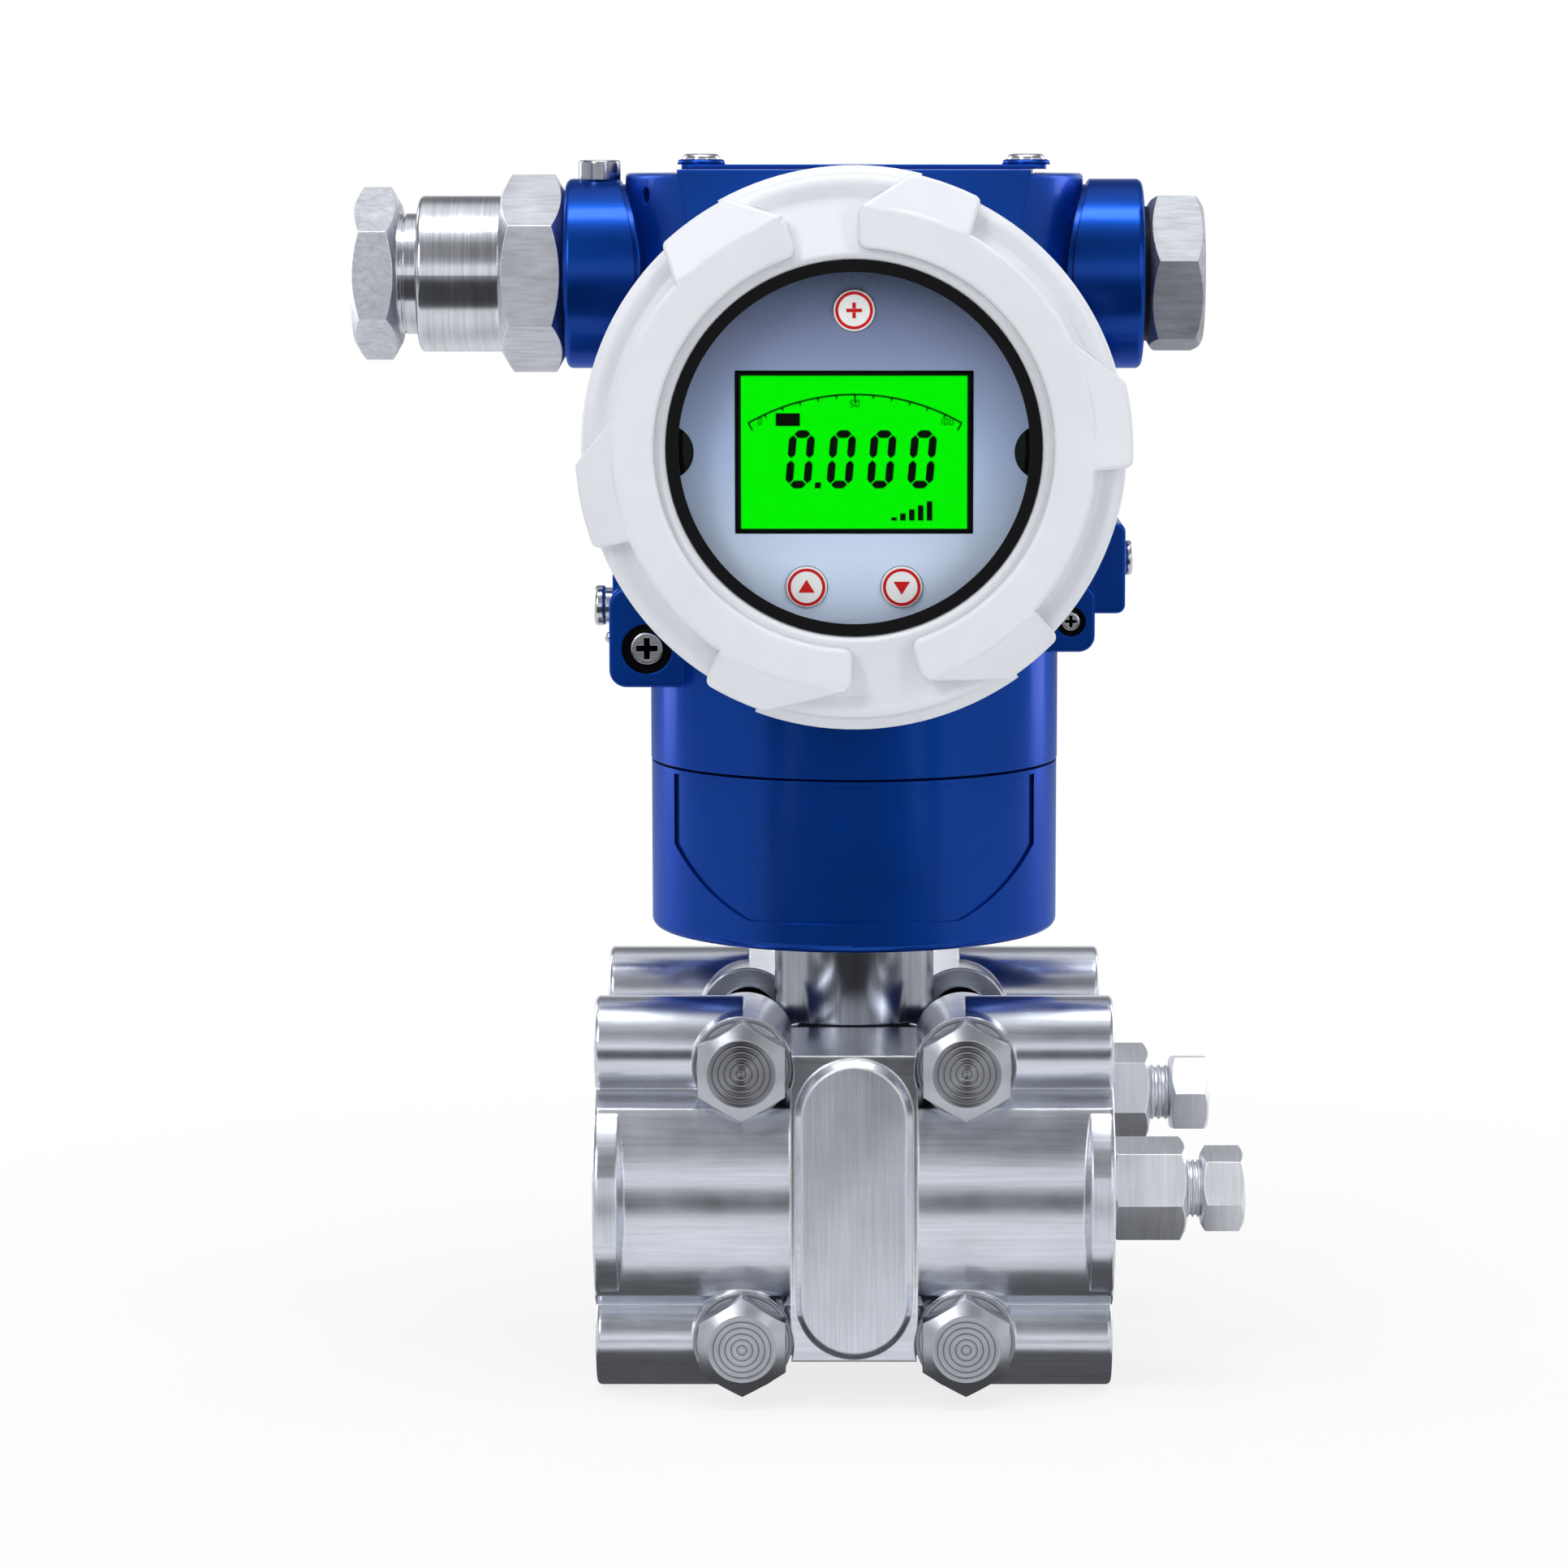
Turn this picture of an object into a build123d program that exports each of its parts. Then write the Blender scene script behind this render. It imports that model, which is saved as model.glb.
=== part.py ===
from build123d import *
import math
import os

# Differential pressure transmitter, in millimetres.
# The neck axis is Z, the display faces -Y, the cable gland points to -X and Z = 0 is the underside
# of the process flanges. "Depth" is always a distance from the middle plane Y = 0, to the front
# with turn = 1 and to the rear with turn = -1.

os.makedirs("parts", exist_ok=True)
SIDES = (("front", 1), ("rear", -1))
RUNNING = 0.05
SEAT = 0.1

# Process flanges
FLANGE_WIDTH = 96.0
FLANGE_HEIGHT = 73.6
LOBE_R = 9.2
LOBE_DEPTH = 29.0
CAPSULE_HALF = 11.0
PORT_SPACING = 54.0
PLATE_INNER_DEPTH = 16.0
BULGE_HALF = 17.6
BULGE_EDGE_DEPTH = 40.0
BULGE_CROWN_DEPTH = 45.0
VALLEY_HALF = 20.4
VALLEY_DEPTH = 34.6
END_DISC_R = 21.5
END_DISC_THICKNESS = 4.4
END_FLANK_R = 17.8
END_FLANK_WIDTH = 1.4
END_EDGE_R = 0.9
WEB_HALF_WIDTH = 11.7
WEB_HALF_HEIGHT = 28.6
WEB_DEPTH = 46.0
STADIUM_HALF_WIDTH = 10.8
STADIUM_HALF_HEIGHT = 28.0
STADIUM_STEP = 1.9
STADIUM_CHAMFER = 1.3
PAD_R = 26.0

# Ports, chambers and seals in the flanges
PORT_R = 5.7
PORT_LENGTH = 16.0
ADAPTER_HOLE_SPACING = 41.3
ADAPTER_HOLE_R = 4.2
ADAPTER_HOLE_LENGTH = 15.0
PASSAGE_R = 2.5
CHAMBER_R = 9.5
CHAMBER_FLOOR_DEPTH = 30.0
SEAL_INNER_R = 19.5
SEAL_OUTER_R = 22.5
SEAL_THICKNESS = 1.6

# Flange bolts
BOLT_SPACING_X = 41.2
BOLT_SPACING_Z = 51.4
BOLT_R = 4.4
BOLT_HOLE_R = 5.5
BOLT_ACROSS_FLATS = 16.0
BOLT_FACE_R = 6.3
BOLT_HEAD = 6.4
BOLT_END = 3.0
BOSS_R = 9.3
BOSS_SEAT_DEPTH = 41.0
BOSS_INNER_DEPTH = 14.0
SPOT_FACE_CLEARANCE = 0.3
WASHER_R = 9.2
WASHER_THICKNESS = 1.6
NUT_HEIGHT = 8.0

# Vent valves on the right ends of the flanges
VENT_BODY_FLATS = 17.0
VENT_NECK_R = 4.95
VENT_THREAD_LENGTH = 10.0
VENT_STEM_REACH = 8.0
VENT_END_FLATS = 14.0
VENT_TIP_R = 2.0
# name, turn, height above the flange's middle, body length, neck length, end length, hexagon angles
VENTS = (
    ("front", 1, 0.0, 13.9, 2.9, 8.0, 8.5, 11.5),
    ("rear", -1, 8.0, 10.1, 4.1, 7.5, 13.75, -7.75),
)

# Capsule
CAPSULE_R = 30.3
BOLT_NOTCH_CLEARANCE = 0.6
NECK_TUBE_R = 15.2
NECK_TUBE_TOP_DROP = 3.3
NECK_TUBE_BORE_R = 11.0
NECK_TUBE_FLOOR_Z = 78.0

# Lower neck shell
SHELL_R = 38.5
SHELL_WALL = 4.0
SHELL_HEIGHT = 31.8
SHELL_FLOOR = 5.0
SHELL_EDGE_R = 1.6
NECK_JOINT_Z = 115.3
NECK_GAP = 0.5
PANEL_HALF_WIDTH = 33.6
PANEL_TOP_GAP = 0.8
PANEL_BOTTOM_RISE = 5.4
PANEL_CORNER_WIDTH = 14.0
PANEL_CORNER_HEIGHT = 12.4
PANEL_CORNER_BULGE = 1.0
PANEL_DEPTH = 0.5

# Housing
NECK_R = 38.6
BARREL_RISE = 61.5
BARREL_R = 46.0
BARREL_HALF = 38.4
CAN_R = 42.9
CAN_TOP_RISE = 48.5
CAN_BOTTOM_DROP = 18.8
ENTRY_RISE = 29.7
ENTRY_BOSS_R = 17.75
ENTRY_BOSS_END = 54.0
ENTRY_BOSS_EDGE_R = 1.2
ENTRY_BORE_R = 10.0
SADDLE_RISE = 0.8
SADDLE_TOP_HALF = 32.0
SADDLE_BOTTOM_HALF = 28.4
SADDLE_HEIGHT = 20.1
CAN_EDGE_R = 0.8
BOSS_GROOVE_WIDTH = 1.2
BOSS_GROOVE_DEPTH = 1.0
DIMPLE_R = 1.5
DIMPLE_DEPTH = 1.6
DIMPLE_ANGLE = 206.7
DIMPLE_DROP = 4.0
CHAMBER_WALL_R = 37.5
PARTITION_DEPTH = 14.5
PARTITION_THICKNESS = 3.5
SPIGOT_R = 42.0
SPIGOT_LENGTH = 8.3
FLOOR_THICKNESS = 9.0
HUB_R = 21.0
HUB_DROP = 14.3
REGISTER_DROP = 6.8
REGISTER_CLEARANCE = 0.3
NECK_SEAL_WIDTH = 2.4
NECK_SEAL_DEPTH = 1.8
NECK_SEAL_DROP = 3.7
WIRE_HOLE_R = 8.0
SET_SCREW_R = 3.0
SET_SCREW_SINK = 1.0
SET_SCREW_LENGTH = 22.0

# Ears on the housing: x of the inner side, x of the outer side, heights of the bottom and the top
# above the neck joint, front depth, corner radius
LEFT_EAR = (-30.0, -45.5, 15.2, 33.7, 22.0, 3.2)
LEFT_REAR_EAR = (-30.0, -45.3, 17.2, 36.2, 12.0, 1.2)
RIGHT_EAR = (30.0, 50.4, 28.8, 45.6, 20.0, 1.6)
RIGHT_LUG = (30.0, 44.7, 21.8, 34.7, 22.0, 3.0)
EAR_REAR_DEPTH = -8.0
EAR_EDGE_R = 0.6
EAR_SCREW_HEAD = 2.2
EAR_SCREW_EDGE_R = 0.5
EAR_SCREW_SHANK = 7.0
EAR_SLOT_DEPTH = 1.2
LEFT_SCREW_X = -38.5
LEFT_SCREW_RISE = 22.4
LEFT_SCREW_R = 3.2
LEFT_SCREW_SHANK_R = 1.9
LEFT_SLOT_LENGTH = 4.0
LEFT_SLOT_WIDTH = 1.1
LEFT_SCREW_RECESS_R = 4.6
LEFT_SCREW_RECESS = 3.0
RIGHT_SCREW_X = 40.2
RIGHT_SCREW_RISE = 27.5
RIGHT_SCREW_R = 1.9
RIGHT_SCREW_SHANK_R = 1.2
RIGHT_SLOT_LENGTH = 2.2
RIGHT_SLOT_WIDTH = 0.6
RIGHT_SCREW_RECESS_R = 2.7
RIGHT_SCREW_RECESS = 2.6
EARTH_DEPTH = 5.0
LEFT_EARTH_HEAD_R = 3.8
LEFT_EARTH_HEAD = 2.1
LEFT_EARTH_WASHER_R = 3.4
LEFT_EARTH_WASHER = 1.3
RIGHT_EARTH_HEAD_R = 3.3
RIGHT_EARTH_HEAD = 1.5
RIGHT_EARTH_WASHER_R = 3.2
RIGHT_EARTH_WASHER = 0.5
EARTH_EDGE_R = 0.7
EARTH_SHANK_R = 2.0
EARTH_SHANK = 8.0
EARTH_SLOT_LENGTH = 5.4
EARTH_SLOT_WIDTH = 0.9
EARTH_SLOT_DEPTH = 1.0
LEFT_EARTH_RISE = 29.0
RIGHT_EARTH_RISE = 38.0

# Name plate and the screws on the top
PLATE_LENGTH = 68.0
PLATE_WIDTH = 18.0
PLATE_THICKNESS = 0.8
PLATE_SHIFT = 1.8
PLATE_CORNER_R = 2.0
PLATE_SCREW_SPACING = 61.0
PLATE_SCREW_HEAD_R = 3.6
PLATE_SCREW_HEAD = 2.0
PLATE_SCREW_SHANK_R = 1.6
PLATE_SCREW_SHANK = 5.0
LOCK_SCREW_INSET = 6.2
LOCK_SCREW_HEAD_R = 3.95
LOCK_SCREW_HEAD = 3.7
LOCK_SCREW_EDGE_R = 0.5
LOCK_SCREW_SHANK_R = 2.5
LOCK_SCREW_SHANK = 5.0
LOCK_SEAT_SINK = 0.25
SOCKET_FLATS = 3.0
SOCKET_DEPTH = 2.0

# Cable gland and blanking plug
ENTRY_THREAD_R = 9.9
ENTRY_THREAD = 12.0
GLAND_FLATS = 32.0
GLAND_HEX_LENGTH = 12.0
GLAND_BARREL_R = 14.6
GLAND_BARREL_LENGTH = 15.5
GLAND_RIM_R = 1.0
GLAND_BORE_R = 11.4
GLAND_FLOOR_THICKNESS = 7.9
GLAND_WIRE_R = 7.0
CLAMP_SHANK_R = 11.3
CLAMP_INSERTION = 8.6
CLAMP_NECK_LENGTH = 3.6
CLAMP_GROOVE_INSET = 1.2
CLAMP_GROOVE_WIDTH = 0.5
CLAMP_GROOVE_DEPTH = 0.5
CLAMP_FLATS = 28.0
CLAMP_HEX_LENGTH = 8.5
CLAMP_BORE_R = 7.0
BUSH_BORE_R = 5.0
PLUG_FLATS = 27.0
PLUG_RING_THICKNESS = 1.1
PLUG_HEX_LENGTH = 10.3
PLUG_ANGLE = -10.0
PLUG_RING_R = 12.6

# Covers: depths along Y and radii about the barrel axis
COVER_GAP = 0.7
COVER_LENGTH = 16.3
COVER_R = 48.8
COVER_LUG_REACH = 1.0
COVER_BAND_OUTER_R = 43.3
COVER_BAND_INNER_R = 35.6
COVER_SHOULDER_DROP = 4.8
BARE_RIM_TOP_DROP = 3.2
BARE_RIM_TOP_R = 47.4
BARE_RIM_EDGE_DROP = 6.4
BARE_RIM_EDGE = 1.0
COVER_LIP_R = 34.9
COVER_BAND_RISE = 2.6
COVER_LUG_DROP = 3.0
LUG_BACK_GAP = 3.9
COVER_WINDOW_R = 33.6
COVER_LIP_CHAMFER = 0.9
COVER_POCKET_R = 37.0
COVER_LIP_THICKNESS = 1.4
COVER_INNER_GAP = 0.5
COVER_CHANNEL_R = 44.8
COVER_CHANNEL_DROP = 3.1
COVER_BEAD_R = 46.6
COVER_BEAD_DROP = 2.6
BAND_CORNER_R = 1.8
BAND_EDGE_R = 0.8
LUG_CORNER_R = 1.4
LUG_SLOPE_START = 1.2
LUG_ROOT = 3.5
# start and end of each raised band, in degrees
BANDS = ((-73.5, 89.0), (106.5, 269.5))
# foot, start, end and second foot of each lug, in degrees
LUGS = (
    (-72.5, -56.3, -42.7, -41.5), (-5.0, -3.8, 13.7, 25.9), (61.5, 63.0, 78.2, 88.0),
    (107.5, 117.1, 133.2, 137.3), (172.7, 183.0, 201.0, 202.2), (236.0, 237.5, 251.2, 268.5),
)
# start and end of each bare part of the rim, in degrees, and the rim's radius there
BARE_RIMS = ((76.0, 119.0, 50.2), (249.5, 305.5, 51.0))
GLASS_THICKNESS = 5.0
GLASS_RING_THICKNESS = 1.6
GLASS_RING_BORE_R = 33.0
WINDOW_SEAL_BORE_R = 31.4
WINDOW_SEAL_THICKNESS = 0.9
COVER_RING_SECTION = 1.8

# Display
FACE_R = 34.0
FACE_THICKNESS = 1.4
FACE_SINK = 2.1
NOTCH_R = 5.0
NOTCH_CENTRE_R = 33.9
SCREEN_WIDTH = 42.8
SCREEN_HEIGHT = 29.2
SCREEN_DROP = 1.2
SCREEN_THICKNESS = 2.6
SCREEN_PROUD = 0.2
BUTTON_R = 3.75
BUTTON_CLEARANCE = 0.1
BUTTON_PROUD = 0.9
BUTTON_EDGE_R = 0.4
BUTTON_TRAVEL = 0.6
BUTTONS = (("top", 0.0, 24.3), ("left", -8.6, -25.5), ("right", 8.6, -25.5))
CARRIER_R = 36.6
CARRIER_WALL = 1.8
CARRIER_DEPTH = 12.0
BOARD_R = 31.0
BOARD_THICKNESS = 1.6
PILLAR_R = 2.6
PILLAR_INSET = 1.0
PILLAR_ANGLES = (30.0, 150.0, 270.0)

# Boards and terminals
ELECTRONICS_R = 34.0
TERMINAL_R = 33.0
TERMINAL_BASE = 7.0
TERMINAL_BLOCK_WIDTH = 44.0
TERMINAL_BLOCK_HEIGHT = 13.0
TERMINAL_BLOCK_DEPTH = 9.0
TERMINAL_PITCH = 13.0
TERMINAL_SCREW_R = 3.4
TERMINAL_SCREW_HEAD = 2.6
TERMINAL_SCREW_SHANK_R = 1.9
TERMINAL_SCREW_SHANK = 6.0
TERMINAL_DROP = 8.8

# Worked out from the sizes above
flange_mid_z = FLANGE_HEIGHT / 2
flange_end = FLANGE_WIDTH / 2
lobe_rise = FLANGE_HEIGHT / 2 - LOBE_R
port_depth = PORT_SPACING / 2
bolt_places = [(sx * BOLT_SPACING_X / 2, sz * BOLT_SPACING_Z / 2) for sx in (-1, 1) for sz in (-1, 1)]
shell_top_z = NECK_JOINT_Z - NECK_GAP
shell_bottom_z = shell_top_z - SHELL_HEIGHT
shell_bore_r = SHELL_R - SHELL_WALL
register_r = shell_bore_r - REGISTER_CLEARANCE
floor_top_z = NECK_JOINT_Z + FLOOR_THICKNESS
set_screw_z = NECK_JOINT_Z + FLOOR_THICKNESS / 2
cover_bore_r = SPIGOT_R + RUNNING
neck_tube_top_z = NECK_JOINT_Z - NECK_TUBE_TOP_DROP
hub_bottom_z = NECK_JOINT_Z - HUB_DROP
register_bottom_z = NECK_JOINT_Z - REGISTER_DROP
neck_seal_z = NECK_JOINT_Z - NECK_SEAL_DROP
barrel_z = NECK_JOINT_Z + BARREL_RISE
can_top_z = barrel_z + CAN_TOP_RISE
can_bottom_z = barrel_z - CAN_BOTTOM_DROP
entry_z = barrel_z + ENTRY_RISE
saddle_top_z = can_top_z + SADDLE_RISE
saddle_bottom_z = saddle_top_z - SADDLE_HEIGHT
terminal_z = barrel_z - TERMINAL_DROP
left_screw_z = NECK_JOINT_Z + LEFT_SCREW_RISE
right_screw_z = NECK_JOINT_Z + RIGHT_SCREW_RISE
left_earth_z = NECK_JOINT_Z + LEFT_EARTH_RISE
right_earth_z = NECK_JOINT_Z + RIGHT_EARTH_RISE
lock_screw_x = LOCK_SCREW_INSET - ENTRY_BOSS_END
lock_seat_z = entry_z + ENTRY_BOSS_R - LOCK_SEAT_SINK
gland_start = ENTRY_BOSS_END + SEAT
gland_hex_end = gland_start + GLAND_HEX_LENGTH
gland_barrel_end = gland_hex_end + GLAND_BARREL_LENGTH
gland_bore_floor = gland_start + GLAND_FLOOR_THICKNESS
clamp_shank_start = gland_barrel_end - CLAMP_INSERTION
clamp_neck_end = gland_barrel_end + CLAMP_NECK_LENGTH
clamp_groove_x = clamp_neck_end - CLAMP_GROOVE_INSET
clamp_end = clamp_neck_end + CLAMP_HEX_LENGTH
plug_start = ENTRY_BOSS_END + PLUG_RING_THICKNESS
plug_end = plug_start + PLUG_HEX_LENGTH
spigot_end_depth = BARREL_HALF + SPIGOT_LENGTH
cover_back_depth = BARREL_HALF + COVER_GAP
cover_inner_depth = spigot_end_depth + COVER_INNER_GAP
cover_lip_depth = cover_back_depth + COVER_LENGTH
cover_band_depth = cover_lip_depth + COVER_BAND_RISE
cover_channel_depth = cover_lip_depth - COVER_CHANNEL_DROP
cover_bead_depth = cover_lip_depth - COVER_BEAD_DROP
rim_top_depth = cover_lip_depth - BARE_RIM_TOP_DROP
rim_edge_depth = cover_lip_depth - BARE_RIM_EDGE_DROP
cover_shoulder_depth = cover_lip_depth - COVER_SHOULDER_DROP
lug_back_depth = cover_back_depth + LUG_BACK_GAP
pocket_floor_depth = cover_lip_depth - COVER_LIP_THICKNESS
cover_lug_r = COVER_R + COVER_LUG_REACH
band_corner_r = min(BAND_CORNER_R, (COVER_BAND_OUTER_R - COVER_BAND_INNER_R) / 3)
slope_r = COVER_BAND_OUTER_R - LUG_SLOPE_START
lug_slope = math.degrees(math.atan2(COVER_LUG_DROP, cover_lug_r - slope_r))
face_front_depth = spigot_end_depth - FACE_SINK
pillar_circle_r = BOARD_R - PILLAR_INSET
HEX_CORNER = 2 / math.sqrt(3)


def facing(turn, depth, height):
    """Plane that looks outward to the front (turn 1) or the rear (turn -1)."""
    return Plane(origin=(0, -turn * depth, height), x_dir=(turn, 0, 0), z_dir=(0, -turn, 0))


def section_plane(turn, height):
    """Plane of a side section: local x is the depth, local y is up."""
    return Plane(origin=(0, 0, height), x_dir=(0, -turn, 0), z_dir=(-turn, 0, 0))


def end_plane(way, x, depth, height):
    """Plane at a place on the X axis that looks to +X (way 1) or -X (way -1)."""
    return Plane(origin=(x, -depth, height), x_dir=(0, way, 0), z_dir=(way, 0, 0))


def polar(radius, angle):
    return (radius * math.cos(math.radians(angle)), radius * math.sin(math.radians(angle)))


def chamfered_hexagon(across_flats, length, rotation=0.0, both_ends=True, face_ratio=0.94):
    """Hexagon bar along +Z from Z = 0, its corners turned to a cone at the ends."""
    corner_r = across_flats / 2 * HEX_CORNER
    face_r = across_flats / 2 * face_ratio
    drop = (corner_r - face_r) * math.tan(math.radians(30))
    start = [(0, 0), (face_r, 0), (corner_r, drop)] if both_ends else [(0, 0), (corner_r, 0)]
    with BuildPart() as bar:
        with BuildSketch():
            RegularPolygon(across_flats / 2, 6, major_radius=False, rotation=rotation)
        extrude(amount=length)
        with BuildSketch(Plane.XZ):
            with BuildLine():
                Polyline(*start, (corner_r, length - drop), (face_r, length), (0, length), close=True)
            make_face()
        revolve(axis=Axis.Z, mode=Mode.INTERSECT)
    return bar.part


# Process flanges: round lobes and end discs with softened rims, joined to the bulging plate
for side, turn in SIDES:
    outward = facing(turn, 0, flange_mid_z)
    vent_rise = VENTS[0][2] if turn == 1 else VENTS[1][2]
    with BuildPart() as lobes:
        with BuildSketch(section_plane(turn, flange_mid_z)):
            with Locations((LOBE_DEPTH, lobe_rise), (LOBE_DEPTH, -lobe_rise)):
                Circle(LOBE_R)
        extrude(amount=flange_end, both=True)
        fillet(lobes.faces().filter_by(Axis.X).edges(), END_EDGE_R)
    with BuildPart() as discs:
        for end in (1, -1):
            with BuildSketch(outward.offset(port_depth)):
                with BuildLine():
                    disc_inner = flange_end - END_DISC_THICKNESS
                    Polyline(
                        (end * (disc_inner - END_FLANK_WIDTH), 0),
                        (end * (disc_inner - END_FLANK_WIDTH), END_FLANK_R),
                        (end * disc_inner, END_DISC_R),
                        (end * flange_end, END_DISC_R), (end * flange_end, 0), close=True,
                    )
                make_face()
            revolve(axis=Axis((0, -turn * port_depth, flange_mid_z), (1, 0, 0)))
        disc_ends = discs.faces().filter_by(Axis.X).sort_by(Axis.X)
        fillet(disc_ends[0].edges() + disc_ends[-1].edges(), END_EDGE_R)
        # The discs are flat on the capsule's side
        with BuildSketch(outward):
            Rectangle(FLANGE_WIDTH, FLANGE_HEIGHT)
        extrude(amount=PLATE_INNER_DEPTH, mode=Mode.SUBTRACT)
    with BuildPart() as flange:
        with BuildSketch(section_plane(turn, flange_mid_z)):
            with BuildLine():
                Polyline(
                    (BULGE_EDGE_DEPTH, -BULGE_HALF), (VALLEY_DEPTH, -VALLEY_HALF),
                    (PLATE_INNER_DEPTH, -VALLEY_HALF), (PLATE_INNER_DEPTH, VALLEY_HALF),
                    (VALLEY_DEPTH, VALLEY_HALF), (BULGE_EDGE_DEPTH, BULGE_HALF),
                )
                ThreePointArc(
                    (BULGE_EDGE_DEPTH, BULGE_HALF), (BULGE_CROWN_DEPTH, 0),
                    (BULGE_EDGE_DEPTH, -BULGE_HALF),
                )
            make_face()
        extrude(amount=flange_end, both=True)
        fillet(flange.faces().filter_by(Axis.X).edges().filter_by(GeomType.CIRCLE), END_EDGE_R)
        add(lobes.part)
        # The lobes stop at the bolt bosses, so the capsule's neck has room between them
        with BuildSketch(outward.offset(PLATE_INNER_DEPTH)):
            with Locations((0, FLANGE_HEIGHT / 2), (0, -FLANGE_HEIGHT / 2)):
                Rectangle(BOLT_SPACING_X, FLANGE_HEIGHT - 2 * WEB_HALF_HEIGHT)
        extrude(amount=WEB_DEPTH, mode=Mode.SUBTRACT)
        # Web, raised stadium and the round pad that seals on the capsule
        with BuildSketch(outward.offset(PLATE_INNER_DEPTH)):
            Rectangle(2 * WEB_HALF_WIDTH, 2 * WEB_HALF_HEIGHT)
        extrude(amount=WEB_DEPTH - PLATE_INNER_DEPTH)
        with BuildSketch(outward.offset(PLATE_INNER_DEPTH)):
            Rectangle(BOLT_SPACING_X, 2 * WEB_HALF_HEIGHT)
        extrude(amount=LOBE_DEPTH + LOBE_R / 2 - PLATE_INNER_DEPTH)
        with BuildSketch(outward.offset(CAPSULE_HALF)):
            Circle(PAD_R)
        extrude(amount=port_depth - CAPSULE_HALF)
        add(discs.part)
        # Bolt bosses
        with BuildSketch(outward.offset(BOSS_INNER_DEPTH)):
            with Locations(*bolt_places):
                Circle(BOSS_R)
        extrude(amount=BOSS_SEAT_DEPTH - BOSS_INNER_DEPTH)
        with BuildSketch(outward.offset(BOSS_SEAT_DEPTH)):
            with Locations(*bolt_places):
                Circle(WASHER_R + SPOT_FACE_CLEARANCE)
        extrude(amount=WEB_DEPTH - BOSS_SEAT_DEPTH, mode=Mode.SUBTRACT)
        with BuildSketch(outward.offset(WEB_DEPTH)):
            SlotOverall(2 * STADIUM_HALF_HEIGHT, 2 * STADIUM_HALF_WIDTH, rotation=90)
        extrude(amount=STADIUM_STEP)
        crown = flange.faces().filter_by(Axis.Y).sort_by(Axis.Y)[0 if turn == 1 else -1]
        chamfer(crown.edges(), length=STADIUM_CHAMFER)
        # Bolt holes, the seal's groove and the pressure chamber
        with BuildSketch(outward.offset(CAPSULE_HALF)):
            with Locations(*bolt_places):
                Circle(BOLT_HOLE_R)
        extrude(amount=WEB_DEPTH, mode=Mode.SUBTRACT)
        with BuildSketch(outward.offset(CAPSULE_HALF)):
            Circle(SEAL_OUTER_R)
            Circle(SEAL_INNER_R, mode=Mode.SUBTRACT)
        extrude(amount=SEAL_THICKNESS, mode=Mode.SUBTRACT)
        with BuildSketch(outward.offset(CAPSULE_HALF)):
            Circle(CHAMBER_R)
        extrude(amount=CHAMBER_FLOOR_DEPTH - CAPSULE_HALF, mode=Mode.SUBTRACT)
        # Process port and adapter bolt holes at the left end, vent thread at the right end
        with Locations(end_plane(-1, -flange_end, turn * port_depth, flange_mid_z)):
            Hole(PORT_R, PORT_LENGTH)
        with Locations(end_plane(-1, -flange_end, turn * port_depth, flange_mid_z)):
            Hole(PASSAGE_R, flange_end)
        for way in (1, -1):
            adapter_z = flange_mid_z + way * ADAPTER_HOLE_SPACING / 2
            with Locations(end_plane(-1, -flange_end, turn * port_depth, adapter_z)):
                Hole(ADAPTER_HOLE_R, ADAPTER_HOLE_LENGTH)
        with Locations(end_plane(1, flange_end, turn * port_depth, flange_mid_z + vent_rise)):
            Hole(PORT_R, VENT_THREAD_LENGTH + SEAT)
        with Locations(end_plane(1, flange_end, turn * port_depth, flange_mid_z + vent_rise)):
            Hole(PASSAGE_R, flange_end)
    flange.part.label = f"{side}_flange"
    export_step(flange.part, f"parts/{side}_flange.step")

# Measuring capsule: a round body between the flanges with a round neck
with BuildPart() as capsule:
    with BuildSketch(facing(1, -CAPSULE_HALF, flange_mid_z)):
        Circle(CAPSULE_R)
        with Locations(*bolt_places):
            Circle(BOLT_R + BOLT_NOTCH_CLEARANCE, mode=Mode.SUBTRACT)
    extrude(amount=2 * CAPSULE_HALF)
    with BuildSketch(Plane.XY.offset(flange_mid_z)):
        Circle(NECK_TUBE_R)
    extrude(amount=neck_tube_top_z - flange_mid_z)
    # The neck is only as deep as the body where it goes down between the flanges
    with BuildSketch(Plane.XY.offset(flange_mid_z)):
        for way in (1, -1):
            with Locations((0, way * (CAPSULE_HALF + NECK_TUBE_R / 2))):
                Rectangle(2 * CAPSULE_R, NECK_TUBE_R)
    extrude(amount=WEB_HALF_HEIGHT + SEAT, mode=Mode.SUBTRACT)
    with BuildSketch(Plane.XY.offset(NECK_TUBE_FLOOR_Z)):
        Circle(NECK_TUBE_BORE_R)
    extrude(amount=neck_tube_top_z - NECK_TUBE_FLOOR_Z, mode=Mode.SUBTRACT)
capsule.part.label = "capsule"
export_step(capsule.part, "parts/capsule.step")

# Seal rings between the capsule and the flanges
with BuildPart() as flange_seals:
    for side, turn in SIDES:
        with BuildSketch(facing(turn, CAPSULE_HALF, flange_mid_z)):
            Circle(SEAL_OUTER_R - SEAT)
            Circle(SEAL_INNER_R + SEAT, mode=Mode.SUBTRACT)
        extrude(amount=SEAL_THICKNESS)
flange_seals.part.label = "flange_seals"
export_step(flange_seals.part, "parts/flange_seals.step")

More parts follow.
